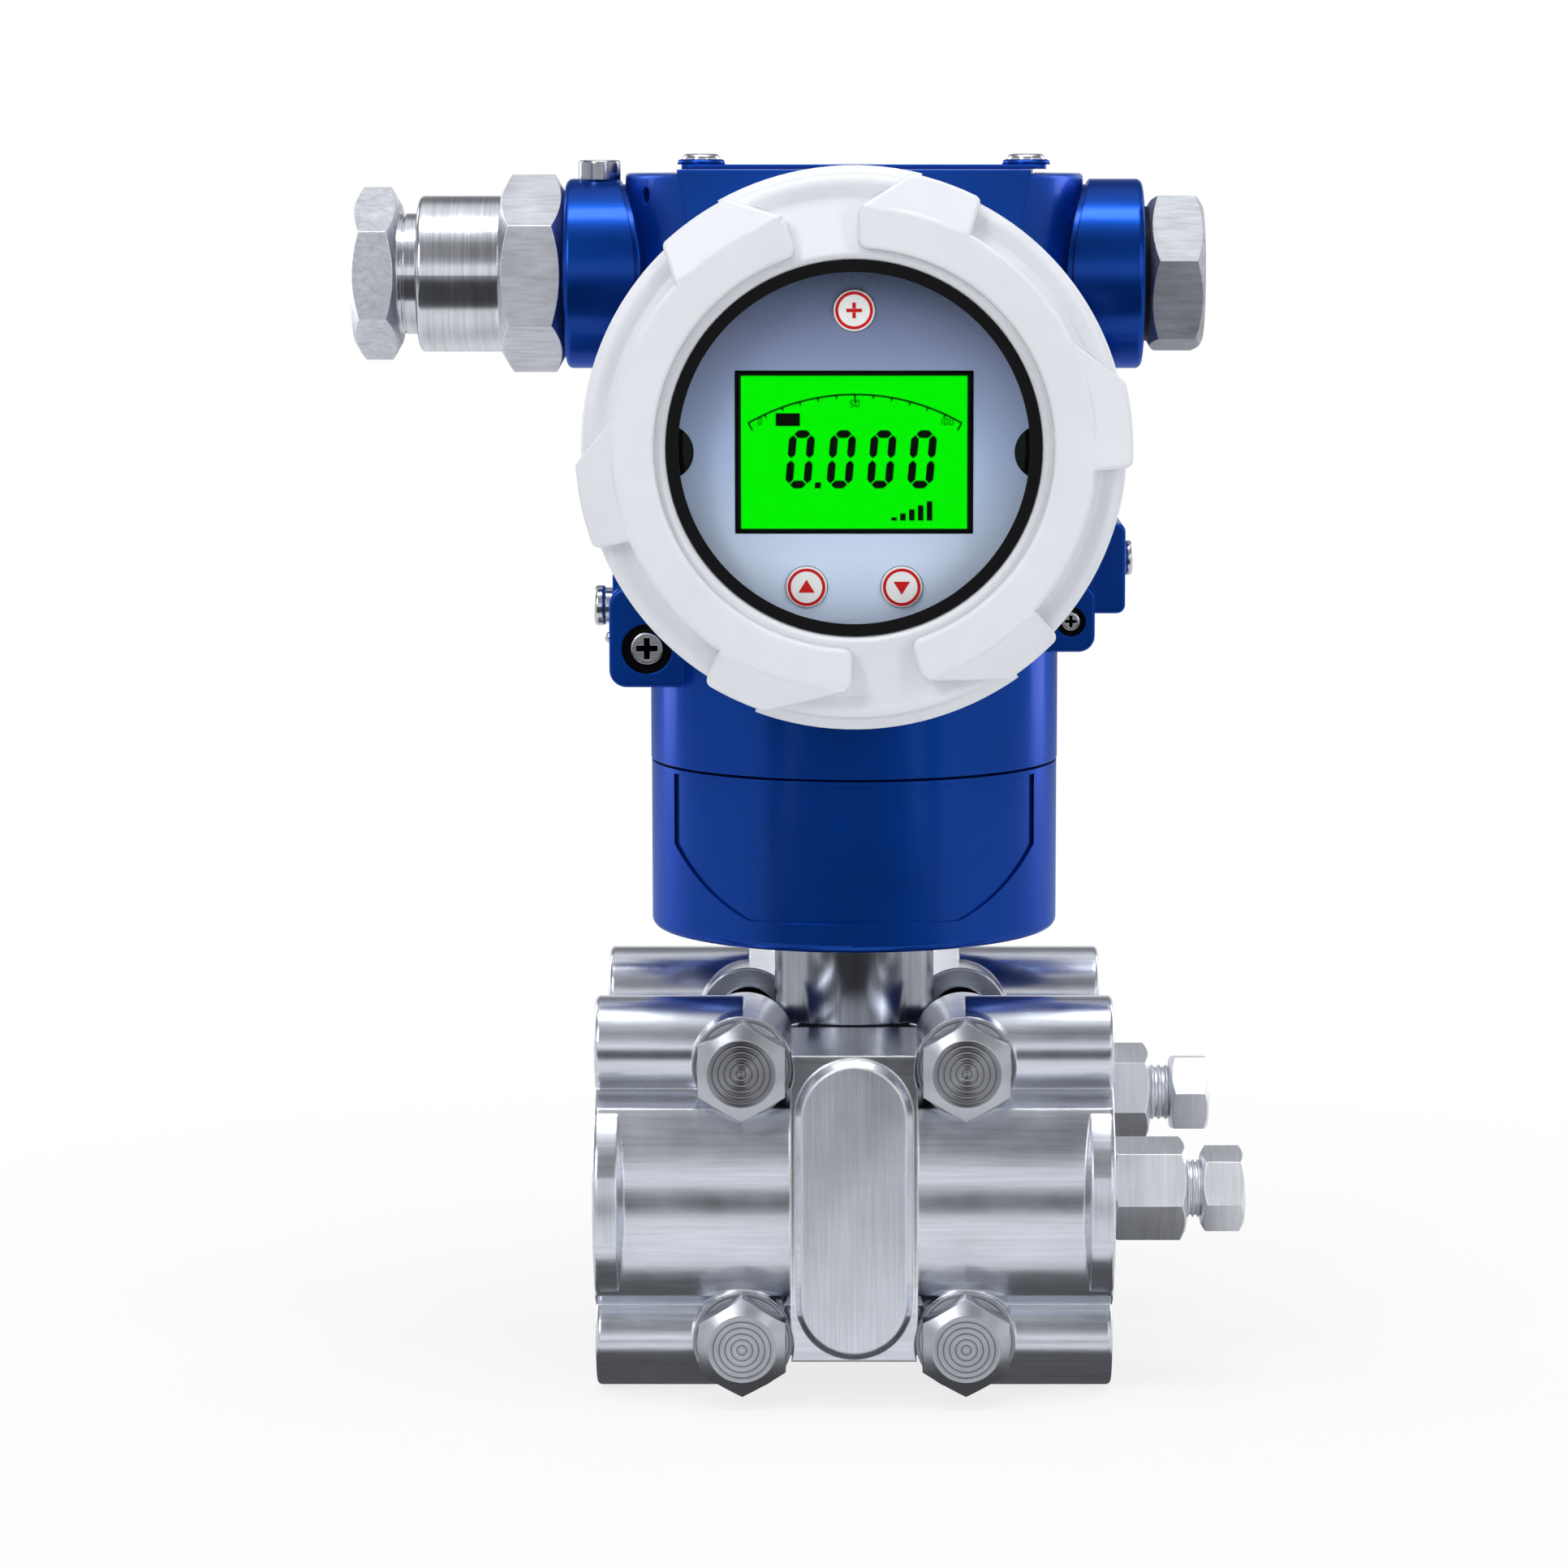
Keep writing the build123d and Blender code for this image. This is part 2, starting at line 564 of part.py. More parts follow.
# Flange bolts with turned head faces, washers and nuts
bolt_head = chamfered_hexagon(
    BOLT_ACROSS_FLATS, BOLT_HEAD, rotation=30, both_ends=False,
    face_ratio=2 * BOLT_FACE_R / BOLT_ACROSS_FLATS,
)
head_depth = BOSS_SEAT_DEPTH + WASHER_THICKNESS
bolt_length = head_depth + BOSS_SEAT_DEPTH + NUT_HEIGHT + BOLT_END
with BuildPart() as flange_bolts:
    with Locations(facing(1, head_depth, flange_mid_z)):
        with Locations(*bolt_places):
            add(bolt_head)
    with BuildSketch(facing(1, head_depth, flange_mid_z)):
        with Locations(*bolt_places):
            Circle(BOLT_R)
    extrude(amount=-bolt_length)
flange_bolts.part.label = "flange_bolts"
export_step(flange_bolts.part, "parts/flange_bolts.step")

with BuildPart() as bolt_washers:
    with BuildSketch(facing(1, BOSS_SEAT_DEPTH, flange_mid_z)):
        with Locations(*bolt_places):
            Circle(WASHER_R)
            Circle(BOLT_R + SEAT, mode=Mode.SUBTRACT)
    extrude(amount=WASHER_THICKNESS)
bolt_washers.part.label = "bolt_washers"
export_step(bolt_washers.part, "parts/bolt_washers.step")

nut_blank = chamfered_hexagon(BOLT_ACROSS_FLATS, NUT_HEIGHT, rotation=30)
with BuildPart() as flange_nuts:
    with Locations(facing(-1, BOSS_SEAT_DEPTH, flange_mid_z)):
        with Locations(*bolt_places):
            add(nut_blank)
    with BuildSketch(facing(-1, BOSS_SEAT_DEPTH, flange_mid_z)):
        with Locations(*bolt_places):
            Circle(BOLT_R + RUNNING)
    extrude(amount=NUT_HEIGHT, mode=Mode.SUBTRACT)
flange_nuts.part.label = "flange_nuts"
export_step(flange_nuts.part, "parts/flange_nuts.step")

# Vent valves: a hexagon body screwed into the flange and a vent screw that turns in it
for side, turn, rise, body_length, neck_length, end_length, body_angle, end_angle in VENTS:
    vent_z = flange_mid_z + rise
    body_end = flange_end + body_length
    neck_end = body_end + neck_length
    body_hexagon = chamfered_hexagon(VENT_BODY_FLATS, body_length, rotation=body_angle)
    end_hexagon = chamfered_hexagon(VENT_END_FLATS, end_length, rotation=end_angle)
    with BuildPart() as vent_body:
        with Locations(end_plane(1, flange_end, turn * port_depth, vent_z)):
            add(body_hexagon)
        with BuildSketch(end_plane(1, flange_end, turn * port_depth, vent_z)):
            Circle(PORT_R - SEAT)
        extrude(amount=-VENT_THREAD_LENGTH)
        with BuildSketch(end_plane(1, body_end, turn * port_depth, vent_z)):
            Circle(VENT_NECK_R + RUNNING)
        extrude(amount=-(VENT_STEM_REACH + SEAT), mode=Mode.SUBTRACT)
        with BuildSketch(end_plane(1, body_end, turn * port_depth, vent_z)):
            Circle(VENT_TIP_R)
        extrude(amount=-(body_length + VENT_THREAD_LENGTH), mode=Mode.SUBTRACT)
    vent_body.part.label = f"{side}_vent_body"
    export_step(vent_body.part, f"parts/{side}_vent_body.step")

    with BuildPart() as vent_screw:
        with Locations(end_plane(1, neck_end, turn * port_depth, vent_z)):
            add(end_hexagon)
        with BuildSketch(end_plane(1, neck_end, turn * port_depth, vent_z)):
            Circle(VENT_NECK_R)
        extrude(amount=-(neck_length + VENT_STEM_REACH))
        tip = vent_screw.faces().filter_by(Axis.X).sort_by(Axis.X)[0]
        chamfer(tip.edges(), length=VENT_NECK_R - VENT_TIP_R)
    vent_screw.part.label = f"{side}_vent_screw"
    export_step(vent_screw.part, f"parts/{side}_vent_screw.step")

# Lower neck shell, a cup with a shallow framed panel on its front
with BuildPart() as shell_core:
    with BuildSketch(Plane.XY.offset(shell_bottom_z)):
        Circle(SHELL_R - PANEL_DEPTH)
    extrude(amount=SHELL_HEIGHT)

with BuildPart() as neck_shell:
    with BuildSketch(Plane.XY.offset(shell_bottom_z)):
        Circle(SHELL_R)
    extrude(amount=SHELL_HEIGHT)
    fillet(neck_shell.edges().group_by(Axis.Z)[0], SHELL_EDGE_R)
    with BuildSketch(Plane.XY.offset(shell_bottom_z + SHELL_FLOOR)):
        Circle(shell_bore_r)
    extrude(amount=SHELL_HEIGHT, mode=Mode.SUBTRACT)
    with BuildSketch(Plane.XY.offset(shell_bottom_z)):
        Circle(NECK_TUBE_R + RUNNING)
    extrude(amount=SHELL_FLOOR, mode=Mode.SUBTRACT)
    with BuildSketch(Plane.XZ):
        with BuildLine():
            panel_top = shell_top_z - PANEL_TOP_GAP
            panel_bottom = shell_bottom_z + PANEL_BOTTOM_RISE
            corner_z = panel_bottom + PANEL_CORNER_HEIGHT
            corner_x = PANEL_HALF_WIDTH - PANEL_CORNER_WIDTH
            bow_x = (corner_x + PANEL_HALF_WIDTH) / 2 + PANEL_CORNER_BULGE
            bow_z = (panel_bottom + corner_z) / 2 - PANEL_CORNER_BULGE
            Line((-corner_x, panel_bottom), (corner_x, panel_bottom))
            ThreePointArc((corner_x, panel_bottom), (bow_x, bow_z), (PANEL_HALF_WIDTH, corner_z))
            Polyline(
                (PANEL_HALF_WIDTH, corner_z), (PANEL_HALF_WIDTH, panel_top),
                (-PANEL_HALF_WIDTH, panel_top), (-PANEL_HALF_WIDTH, corner_z),
            )
            ThreePointArc((-PANEL_HALF_WIDTH, corner_z), (-bow_x, bow_z), (-corner_x, panel_bottom))
        make_face()
    panel = extrude(amount=SHELL_R + SHELL_WALL, mode=Mode.PRIVATE)
    add(panel - shell_core.part, mode=Mode.SUBTRACT)
neck_shell.part.label = "neck_shell"
export_step(neck_shell.part, "parts/neck_shell.step")

# Housing: neck, can, barrel for the two covers, cross bosses, saddle and ears in one casting
with BuildPart() as can_and_neck:
    with BuildSketch(Plane.XY.offset(can_bottom_z)):
        Circle(CAN_R)
    extrude(amount=can_top_z - can_bottom_z)
    with BuildSketch(Plane.XY.offset(can_bottom_z)):
        Rectangle(2 * CAN_R, 2 * BARREL_HALF)
    extrude(amount=can_top_z - can_bottom_z, mode=Mode.INTERSECT)
    fillet(can_and_neck.edges().group_by(Axis.Z)[-1], CAN_EDGE_R)
    with BuildSketch(Plane.XY.offset(NECK_JOINT_Z)):
        Circle(NECK_R)
    extrude(amount=barrel_z - NECK_JOINT_Z)

# Ears with the screws, rounded at their corners and along their front and rear edges
ear_blocks = []
for inner_x, outer_x, low, high, front_depth, corner_r in (
    LEFT_EAR, LEFT_REAR_EAR, RIGHT_EAR, RIGHT_LUG
):
    with BuildPart() as ear:
        with BuildSketch(facing(1, EAR_REAR_DEPTH, NECK_JOINT_Z)):
            with Locations(((inner_x + outer_x) / 2, (low + high) / 2)):
                RectangleRounded(abs(outer_x - inner_x), high - low, corner_r)
        extrude(amount=front_depth - EAR_REAR_DEPTH)
        ear_faces = ear.faces().filter_by(Axis.Y)
        fillet(ear_faces[0].edges() + ear_faces[-1].edges(), EAR_EDGE_R)
    ear_blocks.append(ear.part)

# Cross bosses with a narrow groove where they meet the can
with BuildPart() as boss_groove:
    with BuildSketch(Plane.XY.offset(entry_z - ENTRY_BOSS_R - BOSS_GROOVE_DEPTH)):
        Circle(CAN_R + BOSS_GROOVE_WIDTH)
    extrude(amount=2 * ENTRY_BOSS_R + 2 * BOSS_GROOVE_DEPTH)
    with BuildSketch(Plane.YZ):
        with Locations((0, entry_z)):
            Circle(ENTRY_BOSS_R - BOSS_GROOVE_DEPTH)
    extrude(amount=ENTRY_BOSS_END, both=True, mode=Mode.SUBTRACT)

with BuildPart() as bosses:
    with BuildSketch(Plane.YZ):
        with Locations((0, entry_z)):
            Circle(ENTRY_BOSS_R)
    extrude(amount=ENTRY_BOSS_END, both=True)
    boss_rims = bosses.faces().filter_by(Axis.X).sort_by(Axis.X)
    fillet(boss_rims[0].edges() + boss_rims[-1].edges(), ENTRY_BOSS_EDGE_R)
    add(boss_groove.part, mode=Mode.SUBTRACT)

with BuildPart() as housing:
    add(can_and_neck.part)
    add(bosses.part)
    with BuildSketch(Plane.XZ):
        with BuildLine():
            Polyline(
                (-SADDLE_BOTTOM_HALF, saddle_bottom_z), (SADDLE_BOTTOM_HALF, saddle_bottom_z),
                (SADDLE_TOP_HALF, saddle_top_z), (-SADDLE_TOP_HALF, saddle_top_z), close=True,
            )
        make_face()
    extrude(amount=BARREL_HALF, both=True)
    with BuildSketch(facing(1, -BARREL_HALF, barrel_z)):
        Circle(BARREL_R)
    extrude(amount=2 * BARREL_HALF)
    add(ear_blocks)
    dimple_x, dimple_y = polar(CAN_R, DIMPLE_ANGLE)
    dimple_place = Plane(
        origin=(dimple_x, dimple_y, can_top_z - DIMPLE_DROP), z_dir=(dimple_x, dimple_y, 0)
    )
    with Locations(dimple_place):
        Hole(DIMPLE_R, DIMPLE_DEPTH)
    # Threaded spigots for the covers
    with BuildSketch(facing(1, -spigot_end_depth, barrel_z)):
        Circle(SPIGOT_R)
    extrude(amount=2 * spigot_end_depth)
    # Front and rear chambers with a partition between them
    with BuildSketch(facing(1, PARTITION_DEPTH, barrel_z)):
        Circle(CHAMBER_WALL_R)
    extrude(amount=spigot_end_depth - PARTITION_DEPTH, mode=Mode.SUBTRACT)
    with BuildSketch(facing(1, PARTITION_DEPTH - PARTITION_THICKNESS, barrel_z)):
        Circle(CHAMBER_WALL_R)
    extrude(amount=-(spigot_end_depth + PARTITION_DEPTH - PARTITION_THICKNESS), mode=Mode.SUBTRACT)
    # Hollow neck with a floor, a hub that turns on the capsule's neck and a register in the shell
    with BuildSketch(Plane.XY.offset(floor_top_z)):
        Circle(shell_bore_r)
    extrude(amount=barrel_z - BARREL_R + SHELL_WALL - floor_top_z, mode=Mode.SUBTRACT)
    with BuildSketch(Plane.XY.offset(register_bottom_z)):
        Circle(register_r)
    extrude(amount=NECK_JOINT_Z - register_bottom_z)
    with BuildSketch(Plane.XY.offset(hub_bottom_z)):
        Circle(HUB_R)
    extrude(amount=NECK_JOINT_Z - hub_bottom_z)
    with BuildSketch(Plane.XY.offset(neck_seal_z - NECK_SEAL_WIDTH / 2)):
        Circle(register_r)
        Circle(register_r - NECK_SEAL_DEPTH, mode=Mode.SUBTRACT)
    extrude(amount=NECK_SEAL_WIDTH, mode=Mode.SUBTRACT)
    with BuildSketch(Plane.XY.offset(hub_bottom_z)):
        Circle(NECK_TUBE_R + RUNNING)
    extrude(amount=neck_tube_top_z + SEAT - hub_bottom_z, mode=Mode.SUBTRACT)
    with BuildSketch(Plane.XY.offset(hub_bottom_z)):
        Circle(WIRE_HOLE_R)
    extrude(amount=barrel_z - CHAMBER_WALL_R / 2 - hub_bottom_z, mode=Mode.SUBTRACT)
    # Cable entries into the rear chamber
    for way in (1, -1):
        with Locations(end_plane(way, way * ENTRY_BOSS_END, 0, entry_z)):
            Hole(ENTRY_BORE_R, ENTRY_BOSS_END)
    # Screw seats and holes
    with Locations(Plane.XZ.offset(LEFT_EAR[4])):
        with Locations((LEFT_SCREW_X, left_screw_z)):
            CounterBoreHole(
                LEFT_SCREW_SHANK_R, LEFT_SCREW_RECESS_R, LEFT_SCREW_RECESS,
                LEFT_SCREW_RECESS + EAR_SCREW_SHANK + SEAT,
            )
    with Locations(Plane.XZ.offset(RIGHT_LUG[4])):
        with Locations((RIGHT_SCREW_X, right_screw_z)):
            CounterBoreHole(
                RIGHT_SCREW_SHANK_R, RIGHT_SCREW_RECESS_R, RIGHT_SCREW_RECESS,
                RIGHT_SCREW_RECESS + EAR_SCREW_SHANK + SEAT,
            )
    with Locations(end_plane(-1, LEFT_EAR[1], EARTH_DEPTH, left_earth_z)):
        Hole(EARTH_SHANK_R, EARTH_SHANK + SEAT)
    with Locations(end_plane(1, RIGHT_EAR[1], EARTH_DEPTH, right_earth_z)):
        Hole(EARTH_SHANK_R, EARTH_SHANK + SEAT)
    with Locations(Plane.XY.offset(saddle_top_z)):
        with Locations((PLATE_SHIFT, 0)):
            with GridLocations(PLATE_SCREW_SPACING, 1, 2, 1):
                Hole(PLATE_SCREW_SHANK_R, PLATE_SCREW_SHANK + SEAT)
    with BuildSketch(Plane.XY.offset(lock_seat_z)):
        with Locations((lock_screw_x, 0)):
            Circle(LOCK_SCREW_HEAD_R + SEAT)
    extrude(amount=LOCK_SCREW_HEAD, mode=Mode.SUBTRACT)
    with Locations(Plane.XY.offset(lock_seat_z)):
        with Locations((lock_screw_x, 0)):
            Hole(LOCK_SCREW_SHANK_R, LOCK_SCREW_SHANK + SEAT)
    with Locations(Plane(origin=(0, NECK_R, set_screw_z), z_dir=(0, 1, 0))):
        Hole(SET_SCREW_R, NECK_R - WIRE_HOLE_R)
housing.part.label = "housing"
export_step(housing.part, "parts/housing.step")

# Seal ring of the neck joint and the set screw that stops the housing from turning
with BuildPart() as neck_seal:
    with BuildSketch(Plane.XY.offset(neck_seal_z - NECK_SEAL_WIDTH / 2)):
        Circle(register_r + REGISTER_CLEARANCE / 2)
        Circle(register_r - NECK_SEAL_DEPTH, mode=Mode.SUBTRACT)
    extrude(amount=NECK_SEAL_WIDTH)
neck_seal.part.label = "neck_seal"
export_step(neck_seal.part, "parts/neck_seal.step")

with BuildPart() as set_screw:
    with BuildSketch(Plane(origin=(0, NECK_R - SET_SCREW_SINK, set_screw_z), z_dir=(0, 1, 0))):
        Circle(SET_SCREW_R - RUNNING)
    extrude(amount=-SET_SCREW_LENGTH)
    with BuildSketch(Plane(origin=(0, NECK_R - SET_SCREW_SINK, set_screw_z), z_dir=(0, 1, 0))):
        RegularPolygon(SOCKET_FLATS / 2, 6, major_radius=False)
    extrude(amount=-SOCKET_DEPTH, mode=Mode.SUBTRACT)
set_screw.part.label = "set_screw"
export_step(set_screw.part, "parts/set_screw.step")

# Name plate with two pan-head screws on the saddle
with BuildPart() as name_plate:
    with BuildSketch(Plane.XY.offset(saddle_top_z)):
        with Locations((PLATE_SHIFT, 0)):
            RectangleRounded(PLATE_LENGTH, PLATE_WIDTH, PLATE_CORNER_R)
            with GridLocations(PLATE_SCREW_SPACING, 1, 2, 1):
                Circle(PLATE_SCREW_SHANK_R + SEAT, mode=Mode.SUBTRACT)
    extrude(amount=PLATE_THICKNESS)
name_plate.part.label = "name_plate"
export_step(name_plate.part, "parts/name_plate.step")

plate_top_z = saddle_top_z + PLATE_THICKNESS
with BuildPart() as plate_screws:
    with BuildSketch(Plane.XY.offset(plate_top_z)):
        with Locations((PLATE_SHIFT, 0)):
            with GridLocations(PLATE_SCREW_SPACING, 1, 2, 1):
                Circle(PLATE_SCREW_HEAD_R)
    extrude(amount=PLATE_SCREW_HEAD)
    fillet(plate_screws.edges().group_by(Axis.Z)[-1], PLATE_SCREW_HEAD / 2)
    with BuildSketch(Plane.XY.offset(plate_top_z)):
        with Locations((PLATE_SHIFT, 0)):
            with GridLocations(PLATE_SCREW_SPACING, 1, 2, 1):
                Circle(PLATE_SCREW_SHANK_R)
    extrude(amount=-(PLATE_THICKNESS + PLATE_SCREW_SHANK))
plate_screws.part.label = "plate_screws"
export_step(plate_screws.part, "parts/plate_screws.step")

# Large cap screw on the left boss
with BuildPart() as lock_screw:
    with BuildSketch(Plane.XY.offset(lock_seat_z)):
        with Locations((lock_screw_x, 0)):
            Circle(LOCK_SCREW_HEAD_R)
    extrude(amount=LOCK_SCREW_HEAD)
    fillet(lock_screw.edges().group_by(Axis.Z)[-1], LOCK_SCREW_EDGE_R)
    with BuildSketch(Plane.XY.offset(lock_seat_z)):
        with Locations((lock_screw_x, 0)):
            Circle(LOCK_SCREW_SHANK_R)
    extrude(amount=-LOCK_SCREW_SHANK)
    with BuildSketch(Plane.XY.offset(lock_seat_z + LOCK_SCREW_HEAD)):
        with Locations((lock_screw_x, 0)):
            RegularPolygon(SOCKET_FLATS / 2, 6, major_radius=False)
    extrude(amount=-SOCKET_DEPTH, mode=Mode.SUBTRACT)
lock_screw.part.label = "lock_screw"
export_step(lock_screw.part, "parts/lock_screw.step")

# Cross-head screws that sit in recesses of the ears
ear_screw_places = (
    (
        "left_ear_screw", LEFT_SCREW_X, left_screw_z, LEFT_EAR[4] - LEFT_SCREW_RECESS,
        LEFT_SCREW_R, LEFT_SCREW_SHANK_R, LEFT_SLOT_LENGTH, LEFT_SLOT_WIDTH,
    ),
    (
        "right_ear_screw", RIGHT_SCREW_X, right_screw_z, RIGHT_LUG[4] - RIGHT_SCREW_RECESS,
        RIGHT_SCREW_R, RIGHT_SCREW_SHANK_R, RIGHT_SLOT_LENGTH, RIGHT_SLOT_WIDTH,
    ),
)
for screw_name, screw_x, screw_z, seat_depth, head_r, shank_r, slot_length, slot_width in ear_screw_places:
    with BuildPart() as ear_screw:
        with BuildSketch(Plane.XZ.offset(seat_depth)):
            with Locations((screw_x, screw_z)):
                Circle(head_r)
        extrude(amount=EAR_SCREW_HEAD)
        fillet(ear_screw.edges().group_by(Axis.Y)[0], EAR_SCREW_EDGE_R)
        with BuildSketch(Plane.XZ.offset(seat_depth)):
            with Locations((screw_x, screw_z)):
                Circle(shank_r - RUNNING)
        extrude(amount=-EAR_SCREW_SHANK)
        with BuildSketch(Plane.XZ.offset(seat_depth + EAR_SCREW_HEAD)):
            with Locations((screw_x, screw_z)):
                Rectangle(slot_length, slot_width)
                Rectangle(slot_width, slot_length)
        extrude(amount=-EAR_SLOT_DEPTH, mode=Mode.SUBTRACT)
    ear_screw.part.label = screw_name
    export_step(ear_screw.part, f"parts/{screw_name}.step")

# Earth screws with washers on the sides of the ears
earth_places = (
    (
        "left_earth", -1, LEFT_EAR[1], left_earth_z,
        LEFT_EARTH_HEAD_R, LEFT_EARTH_HEAD, LEFT_EARTH_WASHER_R, LEFT_EARTH_WASHER,
    ),
    (
        "right_earth", 1, RIGHT_EAR[1], right_earth_z,
        RIGHT_EARTH_HEAD_R, RIGHT_EARTH_HEAD, RIGHT_EARTH_WASHER_R, RIGHT_EARTH_WASHER,
    ),
)
for earth_name, way, seat_x, earth_z, head_r, head, washer_r, washer in earth_places:
    seat_plane = end_plane(way, seat_x, EARTH_DEPTH, earth_z)
    with BuildPart() as earth_washer:
        with BuildSketch(seat_plane):
            Circle(washer_r)
            Circle(EARTH_SHANK_R + SEAT, mode=Mode.SUBTRACT)
        extrude(amount=washer)
    earth_washer.part.label = f"{earth_name}_washer"
    export_step(earth_washer.part, f"parts/{earth_name}_washer.step")
    with BuildPart() as earth_screw:
        with BuildSketch(seat_plane.offset(washer)):
            Circle(head_r)
        extrude(amount=head)
        head_faces = earth_screw.faces().filter_by(Axis.X).edges()
        fillet(head_faces, EARTH_EDGE_R)
        with BuildSketch(seat_plane.offset(washer)):
            Circle(EARTH_SHANK_R - RUNNING)
        extrude(amount=-(washer + EARTH_SHANK))
        with BuildSketch(seat_plane.offset(washer + head)):
            Rectangle(EARTH_SLOT_LENGTH, EARTH_SLOT_WIDTH)
        extrude(amount=-EARTH_SLOT_DEPTH, mode=Mode.SUBTRACT)
    earth_screw.part.label = f"{earth_name}_screw"
    export_step(earth_screw.part, f"parts/{earth_name}_screw.step")

# Cable gland: body, sealing bush and clamp nut
gland_hexagon = chamfered_hexagon(GLAND_FLATS, gland_hex_end - gland_start, rotation=30)
with BuildPart() as gland_body:
    with Locations(end_plane(-1, -gland_start, 0, entry_z)):
        add(gland_hexagon)
    with BuildSketch(end_plane(-1, -gland_start, 0, entry_z)):
        Circle(ENTRY_THREAD_R)
    extrude(amount=-ENTRY_THREAD)
    with BuildSketch(end_plane(-1, -gland_hex_end, 0, entry_z)):
        Circle(GLAND_BARREL_R)
    extrude(amount=gland_barrel_end - gland_hex_end)
    barrel_rim = gland_body.faces().filter_by(Axis.X).sort_by(Axis.X)[0]
    fillet(barrel_rim.edges(), GLAND_RIM_R)
    with BuildSketch(end_plane(-1, -gland_bore_floor, 0, entry_z)):
        Circle(GLAND_BORE_R)
    extrude(amount=gland_barrel_end - gland_bore_floor, mode=Mode.SUBTRACT)
    with BuildSketch(end_plane(1, -gland_barrel_end, 0, entry_z)):
        Circle(GLAND_WIRE_R)
    extrude(amount=gland_barrel_end, mode=Mode.SUBTRACT)
gland_body.part.label = "gland_body"
export_step(gland_body.part, "parts/gland_body.step")

bush_gap = 3 * SEAT
with BuildPart() as gland_bush:
    with BuildSketch(end_plane(-1, -gland_bore_floor, 0, entry_z)):
        Circle(GLAND_BORE_R - SEAT)
        Circle(BUSH_BORE_R, mode=Mode.SUBTRACT)
    extrude(amount=clamp_shank_start - bush_gap - gland_bore_floor)
gland_bush.part.label = "gland_bush"
export_step(gland_bush.part, "parts/gland_bush.step")

clamp_hexagon = chamfered_hexagon(CLAMP_FLATS, clamp_end - clamp_neck_end, rotation=30)
with BuildPart() as clamp_nut:
    with Locations(end_plane(-1, -clamp_neck_end, 0, entry_z)):
        add(clamp_hexagon)
    with BuildSketch(end_plane(-1, -clamp_shank_start, 0, entry_z)):
        Circle(CLAMP_SHANK_R)
    extrude(amount=clamp_neck_end - clamp_shank_start)
    with BuildSketch(end_plane(-1, -clamp_groove_x, 0, entry_z)):
        Circle(CLAMP_SHANK_R)
        Circle(CLAMP_SHANK_R - CLAMP_GROOVE_DEPTH, mode=Mode.SUBTRACT)
    extrude(amount=CLAMP_GROOVE_WIDTH, mode=Mode.SUBTRACT)
    with BuildSketch(end_plane(1, -clamp_end, 0, entry_z)):
        Circle(CLAMP_BORE_R)
    extrude(amount=clamp_end - clamp_shank_start, mode=Mode.SUBTRACT)
clamp_nut.part.label = "clamp_nut"
export_step(clamp_nut.part, "parts/clamp_nut.step")

# Blanking plug and its seal ring
plug_hexagon = chamfered_hexagon(PLUG_FLATS, plug_end - plug_start, rotation=PLUG_ANGLE)
with BuildPart() as blanking_plug:
    with Locations(end_plane(1, plug_start, 0, entry_z)):
        add(plug_hexagon)
    with BuildSketch(end_plane(1, plug_start, 0, entry_z)):
        Circle(ENTRY_THREAD_R)
    extrude(amount=-(plug_start - ENTRY_BOSS_END + ENTRY_THREAD))
blanking_plug.part.label = "blanking_plug"
export_step(blanking_plug.part, "parts/blanking_plug.step")

with BuildPart() as plug_ring:
    with BuildSketch(end_plane(1, ENTRY_BOSS_END, 0, entry_z)):
        Circle(PLUG_RING_R)
        Circle(ENTRY_BORE_R + SEAT, mode=Mode.SUBTRACT)
    extrude(amount=plug_start - ENTRY_BOSS_END)
plug_ring.part.label = "plug_ring"
export_step(plug_ring.part, "parts/plug_ring.step")

